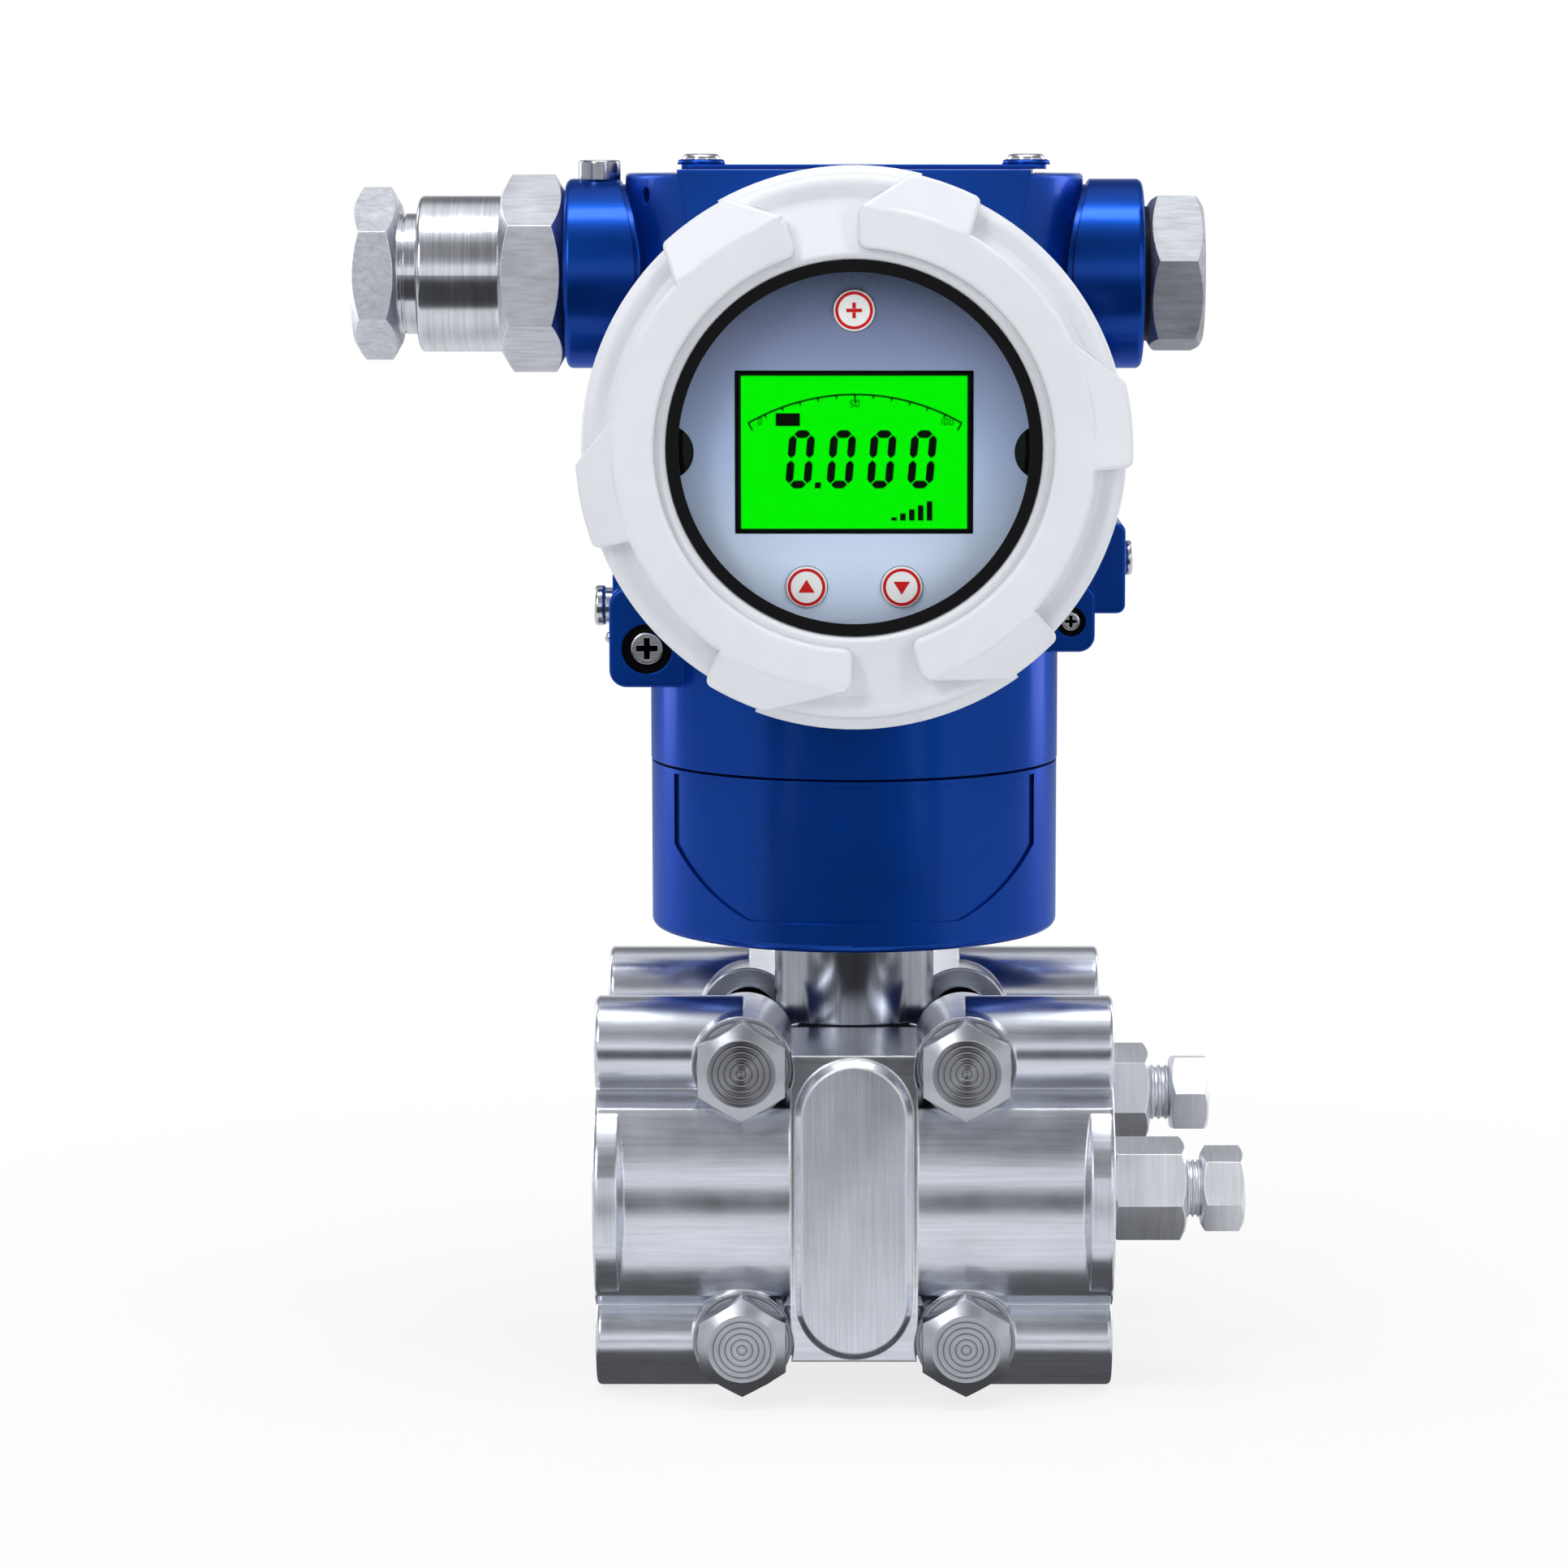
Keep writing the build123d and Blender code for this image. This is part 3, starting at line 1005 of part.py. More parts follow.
# Screw covers: the front one has the window, the rear one is closed
for side, turn in SIDES:
    axis_line = Axis((0, 0, barrel_z), (0, 1, 0))
    section = section_plane(turn, barrel_z)
    # Raised bands with softened top edges
    with BuildPart() as bands:
        for start, end in BANDS:
            with BuildSketch(facing(turn, lug_back_depth, barrel_z)):
                with BuildLine():
                    half_way = (start + end) / 2
                    outer = COVER_BAND_OUTER_R
                    inner = COVER_BAND_INNER_R
                    ThreePointArc(polar(outer, start), polar(outer, half_way), polar(outer, end))
                    Line(polar(outer, end), polar(inner, end))
                    ThreePointArc(polar(inner, end), polar(inner, half_way), polar(inner, start))
                    Line(polar(inner, start), polar(outer, start))
                band = make_face()
                fillet(band.vertices(), band_corner_r)
            extrude(amount=cover_band_depth - lug_back_depth)
        band_tops = bands.faces().filter_by(Axis.Y).group_by(Axis.Y)[0 if turn == 1 else -1]
        fillet(band_tops.edges(), BAND_EDGE_R)
    # Lugs that slope down to the rim, each built by itself and rounded before it joins its band
    lugs = []
    for foot_start, lug_start, lug_end, foot_end in LUGS:
        middle = (foot_start + foot_end) / 2
        root = COVER_BAND_OUTER_R - LUG_ROOT
        hinge = facing(turn, cover_band_depth, barrel_z)
        hinge = Plane(hinge.location * Location((0, 0, 0), (0, 0, middle)))
        hinge = Plane(hinge.location * Location((slope_r, 0, 0), (0, lug_slope, 0)))
        with BuildPart() as lug:
            with BuildSketch(facing(turn, lug_back_depth, barrel_z)):
                with BuildLine():
                    Polyline(
                        polar(cover_lug_r, lug_end), polar(COVER_BAND_OUTER_R, foot_end),
                        polar(root, foot_end - 2), polar(root, foot_start + 2),
                        polar(COVER_BAND_OUTER_R, foot_start), polar(cover_lug_r, lug_start),
                    )
                    RadiusArc(polar(cover_lug_r, lug_start), polar(cover_lug_r, lug_end), -cover_lug_r)
                outline = make_face()
                rim_corners = [
                    corner for corner in outline.vertices()
                    if math.hypot(corner.X, corner.Y) > cover_lug_r - SEAT
                ]
                fillet(rim_corners, LUG_CORNER_R)
            extrude(amount=cover_band_depth - lug_back_depth)
            with BuildSketch(hinge):
                Rectangle(2 * COVER_BAND_OUTER_R, 2 * COVER_BAND_OUTER_R)
            extrude(amount=COVER_LENGTH, mode=Mode.SUBTRACT)
            slope_face = lug.faces().filter_by(Axis(hinge.origin, hinge.z_dir))[0]
            slope_edges = [
                edge for edge in slope_face.edges() if hinge.to_local_coords(edge @ 0.5).X > SEAT
            ]
            fillet(slope_edges, BAND_EDGE_R)
        lugs.append(lug.part)
    # Wider rim where the cover has neither band nor lug
    bare_rims = []
    for start, end, rim_r in BARE_RIMS:
        with BuildPart() as bare_rim:
            with BuildSketch(section):
                with BuildLine():
                    Polyline(
                        (lug_back_depth, COVER_CHANNEL_R), (cover_channel_depth, COVER_CHANNEL_R),
                        (rim_top_depth, BARE_RIM_TOP_R), (rim_edge_depth, rim_r),
                        (rim_edge_depth - BARE_RIM_EDGE, rim_r), (lug_back_depth, COVER_R),
                        close=True,
                    )
                make_face()
            revolve(axis=axis_line)
            with BuildSketch(facing(turn, lug_back_depth, barrel_z)):
                with BuildLine():
                    Polyline((0, 0), polar(2 * rim_r, start), polar(2 * rim_r, end), close=True)
                make_face()
            extrude(amount=COVER_LENGTH, mode=Mode.INTERSECT)
        bare_rims.append(bare_rim.part)
    with BuildPart() as cover:
        # Body: the slope down from the lip, a shallow channel and the rolled outer edge
        with BuildSketch(section):
            with BuildLine():
                Polyline(
                    (cover_lip_depth, 0), (cover_lip_depth, COVER_LIP_R),
                    (cover_channel_depth, COVER_CHANNEL_R), (cover_bead_depth, COVER_BEAD_R),
                )
                TangentArc(
                    (cover_bead_depth, COVER_BEAD_R), (cover_shoulder_depth, COVER_R),
                    tangent=(cover_bead_depth - cover_channel_depth, COVER_BEAD_R - COVER_CHANNEL_R),
                )
                Polyline(
                    (cover_shoulder_depth, COVER_R), (cover_back_depth, COVER_R), (cover_back_depth, 0),
                    (cover_lip_depth, 0),
                )
            make_face()
        revolve(axis=axis_line)
        add(bare_rims)
        add(bands.part)
        add(lugs)
        # Thread bore over the housing's spigot
        with BuildSketch(facing(turn, cover_back_depth, barrel_z)):
            Circle(cover_bore_r)
        extrude(amount=cover_inner_depth - cover_back_depth, mode=Mode.SUBTRACT)
        if side == "front":
            with BuildSketch(facing(turn, cover_inner_depth, barrel_z)):
                Circle(COVER_POCKET_R)
            extrude(amount=pocket_floor_depth - cover_inner_depth, mode=Mode.SUBTRACT)
            with BuildSketch(facing(turn, pocket_floor_depth, barrel_z)):
                Circle(COVER_WINDOW_R)
            extrude(amount=cover_band_depth - pocket_floor_depth, mode=Mode.SUBTRACT)
            with BuildSketch(section):
                with BuildLine():
                    chamfer_depth = cover_lip_depth - COVER_LIP_CHAMFER
                    Polyline(
                        (chamfer_depth, 0), (chamfer_depth, COVER_WINDOW_R),
                        (cover_lip_depth, COVER_WINDOW_R + COVER_LIP_CHAMFER), (cover_lip_depth, 0),
                        close=True,
                    )
                make_face()
            revolve(axis=axis_line, mode=Mode.SUBTRACT)
        # Groove for the cover's seal ring, at the mouth of the thread bore
        with BuildSketch(facing(turn, cover_back_depth, barrel_z)):
            Circle(SPIGOT_R + COVER_RING_SECTION)
            Circle(cover_bore_r, mode=Mode.SUBTRACT)
        extrude(amount=COVER_RING_SECTION, mode=Mode.SUBTRACT)
    cover.part.label = f"{side}_cover"
    export_step(cover.part, f"parts/{side}_cover.step")

    # Seal ring in the mouth of the cover
    with BuildPart() as cover_ring:
        with BuildSketch(facing(turn, cover_back_depth, barrel_z)):
            Circle(SPIGOT_R + COVER_RING_SECTION - RUNNING)
            Circle(SPIGOT_R + RUNNING, mode=Mode.SUBTRACT)
        extrude(amount=COVER_RING_SECTION - RUNNING)
    cover_ring.part.label = f"{side}_cover_ring"
    export_step(cover_ring.part, f"parts/{side}_cover_ring.step")

# Window: glass, black seal in front of it and the ring that holds it from behind
with BuildPart() as window_glass:
    with BuildSketch(facing(1, pocket_floor_depth, barrel_z)):
        Circle(COVER_POCKET_R - SEAT)
    extrude(amount=-GLASS_THICKNESS)
window_glass.part.label = "window_glass"
export_step(window_glass.part, "parts/window_glass.step")

with BuildPart() as window_seal:
    with BuildSketch(facing(1, pocket_floor_depth, barrel_z)):
        Circle(COVER_WINDOW_R - SEAT)
        Circle(WINDOW_SEAL_BORE_R, mode=Mode.SUBTRACT)
    extrude(amount=WINDOW_SEAL_THICKNESS)
window_seal.part.label = "window_seal"
export_step(window_seal.part, "parts/window_seal.step")

with BuildPart() as glass_ring:
    with BuildSketch(facing(1, pocket_floor_depth - GLASS_THICKNESS, barrel_z)):
        Circle(COVER_POCKET_R - SEAT)
        Circle(GLASS_RING_BORE_R, mode=Mode.SUBTRACT)
    extrude(amount=-GLASS_RING_THICKNESS)
glass_ring.part.label = "glass_ring"
export_step(glass_ring.part, "parts/glass_ring.step")

# Display face with notches at its sides and holes for the screen and the buttons
screen_rise = -SCREEN_DROP
button_places = [(x, z) for name, x, z in BUTTONS]
with BuildPart() as display_face:
    with BuildSketch(facing(1, face_front_depth, barrel_z)):
        Circle(FACE_R)
        with Locations((NOTCH_CENTRE_R, screen_rise), (-NOTCH_CENTRE_R, screen_rise)):
            Circle(NOTCH_R, mode=Mode.SUBTRACT)
        with Locations((0, screen_rise)):
            Rectangle(SCREEN_WIDTH + 2 * SEAT, SCREEN_HEIGHT + 2 * SEAT, mode=Mode.SUBTRACT)
        with Locations(*button_places):
            Circle(BUTTON_R + BUTTON_CLEARANCE, mode=Mode.SUBTRACT)
    extrude(amount=-FACE_THICKNESS)
display_face.part.label = "display_face"
export_step(display_face.part, "parts/display_face.step")

face_back_depth = face_front_depth - FACE_THICKNESS
with BuildPart() as display_screen:
    with BuildSketch(facing(1, face_front_depth + SCREEN_PROUD, barrel_z)):
        with Locations((0, screen_rise)):
            Rectangle(SCREEN_WIDTH, SCREEN_HEIGHT)
    extrude(amount=-(FACE_THICKNESS + SCREEN_PROUD + SCREEN_THICKNESS))
display_screen.part.label = "display_screen"
export_step(display_screen.part, "parts/display_screen.step")

board_depth = face_back_depth - SCREEN_THICKNESS
button_length = face_front_depth + BUTTON_PROUD - board_depth - BUTTON_TRAVEL - SEAT
for name, button_x, button_rise in BUTTONS:
    with BuildPart() as button:
        with BuildSketch(facing(1, face_front_depth + BUTTON_PROUD, barrel_z + button_rise)):
            with Locations((button_x, 0)):
                Circle(BUTTON_R)
        extrude(amount=-button_length)
        fillet(button.edges().group_by(Axis.Y)[0], BUTTON_EDGE_R)
    button.part.label = f"{name}_button"
    export_step(button.part, f"parts/{name}_button.step")

# Circuit board behind the screen, on the carrier's pillars
with BuildPart() as display_board:
    with BuildSketch(facing(1, board_depth, barrel_z)):
        Circle(BOARD_R)
        with Locations(*[polar(pillar_circle_r, angle) for angle in PILLAR_ANGLES]):
            Circle(PILLAR_R + SEAT, mode=Mode.SUBTRACT)
    extrude(amount=-BOARD_THICKNESS)
display_board.part.label = "display_board"
export_step(display_board.part, "parts/display_board.step")

# Plastic cup that carries the display, with pillars up to the face
carrier_back_depth = face_back_depth - CARRIER_DEPTH
with BuildPart() as display_carrier:
    with BuildSketch(facing(1, face_back_depth, barrel_z)):
        Circle(CARRIER_R)
    extrude(amount=-CARRIER_DEPTH)
    with BuildSketch(facing(1, face_back_depth, barrel_z)):
        Circle(CARRIER_R - CARRIER_WALL)
    extrude(amount=-(CARRIER_DEPTH - CARRIER_WALL), mode=Mode.SUBTRACT)
    with BuildSketch(facing(1, face_back_depth, barrel_z)):
        with Locations(*[polar(pillar_circle_r, angle) for angle in PILLAR_ANGLES]):
            Circle(PILLAR_R)
    extrude(amount=-CARRIER_DEPTH)
display_carrier.part.label = "display_carrier"
export_step(display_carrier.part, "parts/display_carrier.step")

# Electronics potted in a disc on the partition, and the terminal block in the rear chamber
with BuildPart() as electronics_module:
    with BuildSketch(facing(1, PARTITION_DEPTH, barrel_z)):
        Circle(ELECTRONICS_R)
    extrude(amount=carrier_back_depth - PARTITION_DEPTH)
electronics_module.part.label = "electronics_module"
export_step(electronics_module.part, "parts/electronics_module.step")

terminal_back = PARTITION_THICKNESS - PARTITION_DEPTH
with BuildPart() as terminal_block:
    with BuildSketch(facing(-1, terminal_back, barrel_z)):
        Circle(TERMINAL_R)
    extrude(amount=TERMINAL_BASE)
    with BuildSketch(facing(-1, terminal_back + TERMINAL_BASE, terminal_z)):
        Rectangle(TERMINAL_BLOCK_WIDTH, TERMINAL_BLOCK_HEIGHT)
    extrude(amount=TERMINAL_BLOCK_DEPTH)
    with Locations(facing(-1, terminal_back + TERMINAL_BASE + TERMINAL_BLOCK_DEPTH, terminal_z)):
        with GridLocations(TERMINAL_PITCH, 1, 3, 1):
            CounterBoreHole(
                TERMINAL_SCREW_SHANK_R, TERMINAL_SCREW_R + SEAT, TERMINAL_SCREW_HEAD,
                TERMINAL_SCREW_HEAD + TERMINAL_SCREW_SHANK + SEAT,
            )
terminal_block.part.label = "terminal_block"
export_step(terminal_block.part, "parts/terminal_block.step")

terminal_seat = terminal_back + TERMINAL_BASE + TERMINAL_BLOCK_DEPTH - TERMINAL_SCREW_HEAD
with BuildPart() as terminal_screws:
    with BuildSketch(facing(-1, terminal_seat, terminal_z)):
        with GridLocations(TERMINAL_PITCH, 1, 3, 1):
            Circle(TERMINAL_SCREW_R)
    extrude(amount=TERMINAL_SCREW_HEAD)
    with BuildSketch(facing(-1, terminal_seat, terminal_z)):
        with GridLocations(TERMINAL_PITCH, 1, 3, 1):
            Circle(TERMINAL_SCREW_SHANK_R - RUNNING)
    extrude(amount=-TERMINAL_SCREW_SHANK)
    with BuildSketch(facing(-1, terminal_seat + TERMINAL_SCREW_HEAD, terminal_z)):
        with GridLocations(TERMINAL_PITCH, 1, 3, 1):
            Rectangle(2 * TERMINAL_SCREW_R, EARTH_SLOT_WIDTH)
    extrude(amount=-EARTH_SLOT_DEPTH, mode=Mode.SUBTRACT)
terminal_screws.part.label = "terminal_screws"
export_step(terminal_screws.part, "parts/terminal_screws.step")
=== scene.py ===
import bpy
import math
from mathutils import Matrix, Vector


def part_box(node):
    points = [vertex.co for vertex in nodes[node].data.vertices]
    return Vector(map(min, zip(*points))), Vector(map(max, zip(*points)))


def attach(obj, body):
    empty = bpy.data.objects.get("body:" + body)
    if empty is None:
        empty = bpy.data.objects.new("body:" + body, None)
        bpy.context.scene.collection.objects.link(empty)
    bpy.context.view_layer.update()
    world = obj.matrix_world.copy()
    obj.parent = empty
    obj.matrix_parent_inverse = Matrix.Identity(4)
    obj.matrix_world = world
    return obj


# Looks of a differential pressure transmitter: the finish of every modelled part, the print on the
# display and the buttons, a few small turned pieces, and the studio round it.
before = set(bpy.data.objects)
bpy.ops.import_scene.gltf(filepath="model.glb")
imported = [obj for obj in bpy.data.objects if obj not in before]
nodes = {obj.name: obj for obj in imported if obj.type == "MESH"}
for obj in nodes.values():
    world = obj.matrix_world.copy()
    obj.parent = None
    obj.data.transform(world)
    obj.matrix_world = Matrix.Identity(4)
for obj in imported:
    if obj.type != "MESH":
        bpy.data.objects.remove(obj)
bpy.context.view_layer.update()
MM = 0.001


def middle(node):
    """Middle of a node's box, in mm."""
    low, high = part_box(node)
    return (low + high) / 2 / MM


# Material helpers: every texture is read in object coordinates, which are metres in the frame
def shader(name, color, roughness, metallic=0.0, **settings):
    """New material with its Principled shader set; returns (material, tree, shader node)."""
    material = bpy.data.materials.new(name)
    material.use_nodes = True
    tree = material.node_tree
    bsdf = tree.nodes["Principled BSDF"]
    bsdf.inputs["Base Color"].default_value = (*color, 1.0)
    bsdf.inputs["Roughness"].default_value = roughness
    bsdf.inputs["Metallic"].default_value = metallic
    for socket, value in settings.items():
        bsdf.inputs[socket.replace("_", " ")].default_value = value
    material.diffuse_color = (*color, 1.0)
    return material, tree, bsdf


def put(tree, kind, inputs=None, **attributes):
    """New node of a tree; inputs are constants or other nodes' sockets."""
    node = tree.nodes.new("ShaderNode" + kind)
    for key, value in attributes.items():
        setattr(node, key, value)
    for key, value in (inputs or {}).items():
        if isinstance(value, bpy.types.NodeSocket):
            tree.links.new(value, node.inputs[key])
        else:
            node.inputs[key].default_value = value
    return node


def calc(tree, operation, a, b=0.0):
    return put(tree, "Math", {0: a, 1: b}, operation=operation).outputs[0]


def plus(tree, a, b):
    return calc(tree, "ADD", a, b)


def minus(tree, a, b):
    return calc(tree, "SUBTRACT", a, b)


def times(tree, a, b):
    return calc(tree, "MULTIPLY", a, b)


def distance(tree, a, b):
    return calc(tree, "SQRT", plus(tree, times(tree, a, a), times(tree, b, b)))


def place(tree):
    return put(tree, "TexCoord").outputs["Object"]


def coordinates(tree):
    return put(tree, "SeparateXYZ", {0: place(tree)}).outputs


def noise(tree, vector, scale, detail=3.0, rough=0.55):
    node = put(tree, "TexNoise", {"Vector": vector, "Scale": scale, "Detail": detail, "Roughness": rough})
    return node.outputs[0]


def tool_lines(tree, brush):
    """Noise drawn out into lines; brush is how often it changes along X, Y and Z, in each metre."""
    stretched = put(tree, "Mapping", {"Vector": place(tree), "Scale": brush}).outputs[0]
    return noise(tree, stretched, scale=1.0, detail=4.0, rough=0.65)


def ramp(tree, value, low, high, out_low=0.0, out_high=1.0):
    node = put(tree, "MapRange", {
        "Value": value, "From Min": low, "From Max": high, "To Min": out_low, "To Max": out_high,
    })
    return node.outputs[0]


def spread(tree, value, out_low=0.0, out_high=1.0):
    """Noise keeps near its middle, so this stretches it over the whole range."""
    return ramp(tree, value, 0.3, 0.7, out_low, out_high)


def tint(tree, factor, first, second):
    """Colour between two colours, which are constants or sockets."""
    node = put(tree, "Mix", data_type="RGBA")
    for key, value in ((0, factor), (6, first), (7, second)):
        if isinstance(value, bpy.types.NodeSocket):
            tree.links.new(value, node.inputs[key])
        else:
            node.inputs[key].default_value = value if key == 0 else (*value, 1.0)
    return node.outputs[2]


def set_stops(node, tones):
    """Colours of a ramp node, as (spot from 0 to 1, colour) from the first end to the last."""
    (start, first), *between, (end, last) = tones
    low, high = node.color_ramp.elements
    low.position, low.color = start, (*first, 1.0)
    high.position, high.color = end, (*last, 1.0)
    for spot, color in between:
        node.color_ramp.elements.new(spot).color = (*color, 1.0)


def relief(tree, bsdf, layers, edge):
    """Bump layers (height socket, depth in metres) over edges that are softened by a radius."""
    normal = put(tree, "Bevel", {"Radius": edge}, samples=6).outputs[0]
    for height, depth in layers:
        inputs = {"Height": height, "Distance": depth, "Strength": 1.0, "Normal": normal}
        normal = put(tree, "Bump", inputs).outputs[0]
    tree.links.new(normal, bsdf.inputs["Normal"])


def painted_edge_highlight(tree, width):
    """1 along the edges of the form, where a painted highlight brightens the colour, and 0 elsewhere."""
    rounded = put(tree, "Bevel", {"Radius": width}, samples=6).outputs[0]
    normal = put(tree, "NewGeometry").outputs["Normal"]
    bend = put(tree, "VectorMath", {0: rounded, 1: normal}, operation="DOT_PRODUCT").outputs["Value"]
    return ramp(tree, bend, 0.9, 0.985, 1.0, 0.0)


def shade(color, factor):
    return tuple(min(1.0, channel * factor) for channel in color)


# Families of finish
def paint(name, color, roughness, peel, edge, grain=900.0, flake=0.0, gloss=0.3, **settings):
    """Powder coat: slight drift of tone and gloss, with the fine peel of the sprayed skin."""
    material, tree, bsdf = shader(name, color, roughness, flake, Specular_IOR_Level=gloss, **settings)
    drift = noise(tree, place(tree), scale=40.0)
    fine = noise(tree, place(tree), scale=grain, detail=4.0)
    wide = noise(tree, place(tree), scale=220.0)
    tree.links.new(tint(tree, drift, shade(color, 0.9), shade(color, 1.08)), bsdf.inputs["Base Color"])
    tree.links.new(spread(tree, drift, roughness - 0.04, roughness + 0.05), bsdf.inputs["Roughness"])
    relief(tree, bsdf, [(fine, peel), (wide, peel * 2)], edge)
    return material


def metal(
    name, color, roughness, brush=(60.0, 1800.0, 1800.0), depth=0.000005, edge=0.0004,
    pits=0.0, beyond=None, contrast=0.13,
):
    """Machined steel: tool lines, cloudy gloss, a painted highlight along the edges and light pitting.

    beyond = (axis, limit in mm, brush, matt) gives other lines and gloss further than the limit
    from the middle of the part along that axis.
    """
    material, tree, bsdf = shader(name, color, roughness, 1.0)
    lines = tool_lines(tree, brush)
    matt = 0.0
    if beyond:
        axis, limit, other_brush, other_matt = beyond
        past = calc(tree, "GREATER_THAN", calc(tree, "ABSOLUTE", coordinates(tree)[axis]), limit * MM)
        near_lines = times(tree, lines, minus(tree, 1.0, past))
        lines = plus(tree, times(tree, tool_lines(tree, other_brush), past), near_lines)
        matt = times(tree, past, other_matt)
    cloud = noise(tree, place(tree), scale=70.0, detail=4.0)
    marks = plus(tree, spread(tree, cloud, 0.0, 0.4), spread(tree, lines, 0.0, 0.6))
    ground = tint(tree, marks, shade(color, 1 - contrast), shade(color, 1 + contrast))
    # the edges are brightened in colour: a painted highlight
    surface = tint(tree, painted_edge_highlight(tree, edge), ground, shade(color, 1.6))
    tree.links.new(surface, bsdf.inputs["Base Color"])
    gloss = spread(tree, cloud, roughness - 0.03, roughness + 0.04)
    tree.links.new(plus(tree, gloss, matt), bsdf.inputs["Roughness"])
    layers = [(lines, depth)]
    if pits:
        layers.append((noise(tree, place(tree), scale=700.0, detail=5.0, rough=0.7), pits))
    relief(tree, bsdf, layers, edge)
    return material


def plastic(name, color, roughness, bump=0.000008, gloss=0.3):
    """Moulded plastic or rubber with a fine spark-eroded skin."""
    material, tree, bsdf = shader(name, color, roughness, Specular_IOR_Level=gloss)
    drift = noise(tree, place(tree), scale=60.0)
    skin = noise(tree, place(tree), scale=2200.0)
    tree.links.new(tint(tree, drift, shade(color, 0.93), shade(color, 1.06)), bsdf.inputs["Base Color"])
    tree.links.new(spread(tree, drift, roughness - 0.04, roughness + 0.04), bsdf.inputs["Roughness"])
    relief(tree, bsdf, [(skin, bump)], edge=0.0002)
    return material


# Ear screws, in mm: radius of each pocket, and length and width of each cross slot
POCKET_R = {"left": 4.6, "right": 2.7}
CROSS_SLOT = {"left": (4.0, 1.1), "right": (2.2, 0.6)}
POCKET_GAP = 0.05
POCKET_BACK = -8.0


def beside_ear_screw(tree, side):
    """Distances along X and Z from the axis of an ear screw."""
    axis = middle(f"{side}_ear_screw")
    at = coordinates(tree)
    dx = calc(tree, "ABSOLUTE", minus(tree, at["X"], axis.x * MM))
    dz = calc(tree, "ABSOLUTE", minus(tree, at["Z"], axis.z * MM))
    return dx, dz


def painted_pocket_shade(material):
    """Painted shade: the screw pockets of the ears are coloured near black, standing in for the deep shadow
    inside them.
    """
    tree = material.node_tree
    base = tree.nodes["Principled BSDF"].inputs["Base Color"]
    color = base.links[0].from_socket
    for side, radius in POCKET_R.items():
        dx, dz = beside_ear_screw(tree, side)
        within = calc(tree, "LESS_THAN", distance(tree, dx, dz), (radius + POCKET_GAP) * MM)
        sunk = calc(tree, "LESS_THAN", coordinates(tree)["Y"], POCKET_BACK * MM)
        # near-black colour inside each pocket: painted shade for the shadow in the recess
        color = tint(tree, times(tree, within, sunk), color, (0.003, 0.003, 0.004))
    tree.links.new(color, base)


def cross_head(side):
    """Plated ear screw whose cross slot is coloured near black: painted shade for the shadow inside the
    slot.
    """
    slot_length, slot_width = CROSS_SLOT[side]
    material = metal(f"{side}_cross", (0.66, 0.67, 0.7), 0.2, edge=0.0002)
    tree = material.node_tree
    base = tree.nodes["Principled BSDF"].inputs["Base Color"]
    bright = base.links[0].from_socket
    dx, dz = beside_ear_screw(tree, side)
    arms = []
    for across, along in ((dx, dz), (dz, dx)):
        narrow = calc(tree, "LESS_THAN", across, slot_width / 2 * MM)
        arms.append(times(tree, narrow, calc(tree, "LESS_THAN", along, slot_length / 2 * MM)))
    cross = calc(tree, "MAXIMUM", *arms)
    # the cross slot is coloured near black: painted shade
    tree.links.new(tint(tree, cross, bright, (0.002, 0.002, 0.002)), base)
    return material


# Flange bolts, in mm: their places to each side of the flange's middle, and their turned rings
BOLT_X = 20.6
BOLT_Z = 25.7
FINE_RING = 0.5464
WIDE_RING = 1.122


def ring_waves(tree, radius, pitch):
    return times(tree, radius, math.tau / (pitch * MM))


def turned_bolts(name, color, roughness):
    """Bolt steel: plain flanks, and rings turned on the faces that look along Y; those faces are painted
    darker and the flanks lighter, as painted shade and painted light.
    """
    material, tree, bsdf = shader(name, color, roughness, 1.0, Anisotropic=0.9)
    at = coordinates(tree)
    rise = minus(tree, at["Z"], middle("front_flange").z * MM)
    dx = minus(tree, at["X"], times(tree, calc(tree, "SIGN", at["X"]), BOLT_X * MM))
    dz = minus(tree, rise, times(tree, calc(tree, "SIGN", rise), BOLT_Z * MM))
    around = put(tree, "CombineXYZ", {0: times(tree, dz, -1.0), 1: 0.0, 2: dx})
    around = put(tree, "VectorMath", {0: around.outputs[0]}, operation="NORMALIZE")
    around = put(
        tree, "VectorTransform", {0: around.outputs[0]}, convert_from="OBJECT", convert_to="WORLD",
    )
    tree.links.new(around.outputs[0], bsdf.inputs["Tangent"])
    radius = distance(tree, dx, dz)
    facing = put(tree, "SeparateXYZ", {0: put(tree, "TexCoord").outputs["Normal"]})
    flat = calc(tree, "GREATER_THAN", calc(tree, "ABSOLUTE", facing.outputs[1]), 0.9)
    wobble = noise(tree, place(tree), scale=500.0)
    fine = calc(tree, "SINE", plus(tree, ring_waves(tree, radius, FINE_RING), wobble))
    wide = calc(tree, "SINE", ring_waves(tree, radius, WIDE_RING))
    groove = times(tree, flat, plus(tree, times(tree, fine, 0.7), wide))
    cloud = noise(tree, place(tree), scale=90.0)
    dull = plus(tree, spread(tree, cloud, 0.35, 0.65), times(tree, groove, 0.32))
    # faces along Y coloured darker and flanks lighter: painted shade and painted light by facing
    facing_shade_and_light = tint(tree, flat, shade(color, 1.2), shade(color, 0.85))
    tone = put(tree, "Mix", {0: 1.0, 6: facing_shade_and_light}, data_type="RGBA", blend_type="MULTIPLY")
    tree.links.new(tint(tree, dull, (0.35, 0.35, 0.36), (1.0, 1.0, 1.0)), tone.inputs[7])
    tree.links.new(tone.outputs[2], bsdf.inputs["Base Color"])
    pitting = noise(tree, place(tree), scale=900.0, detail=4.0)
    relief(tree, bsdf, [(groove, 0.00001), (pitting, 0.000003)], edge=0.0003)
    return material


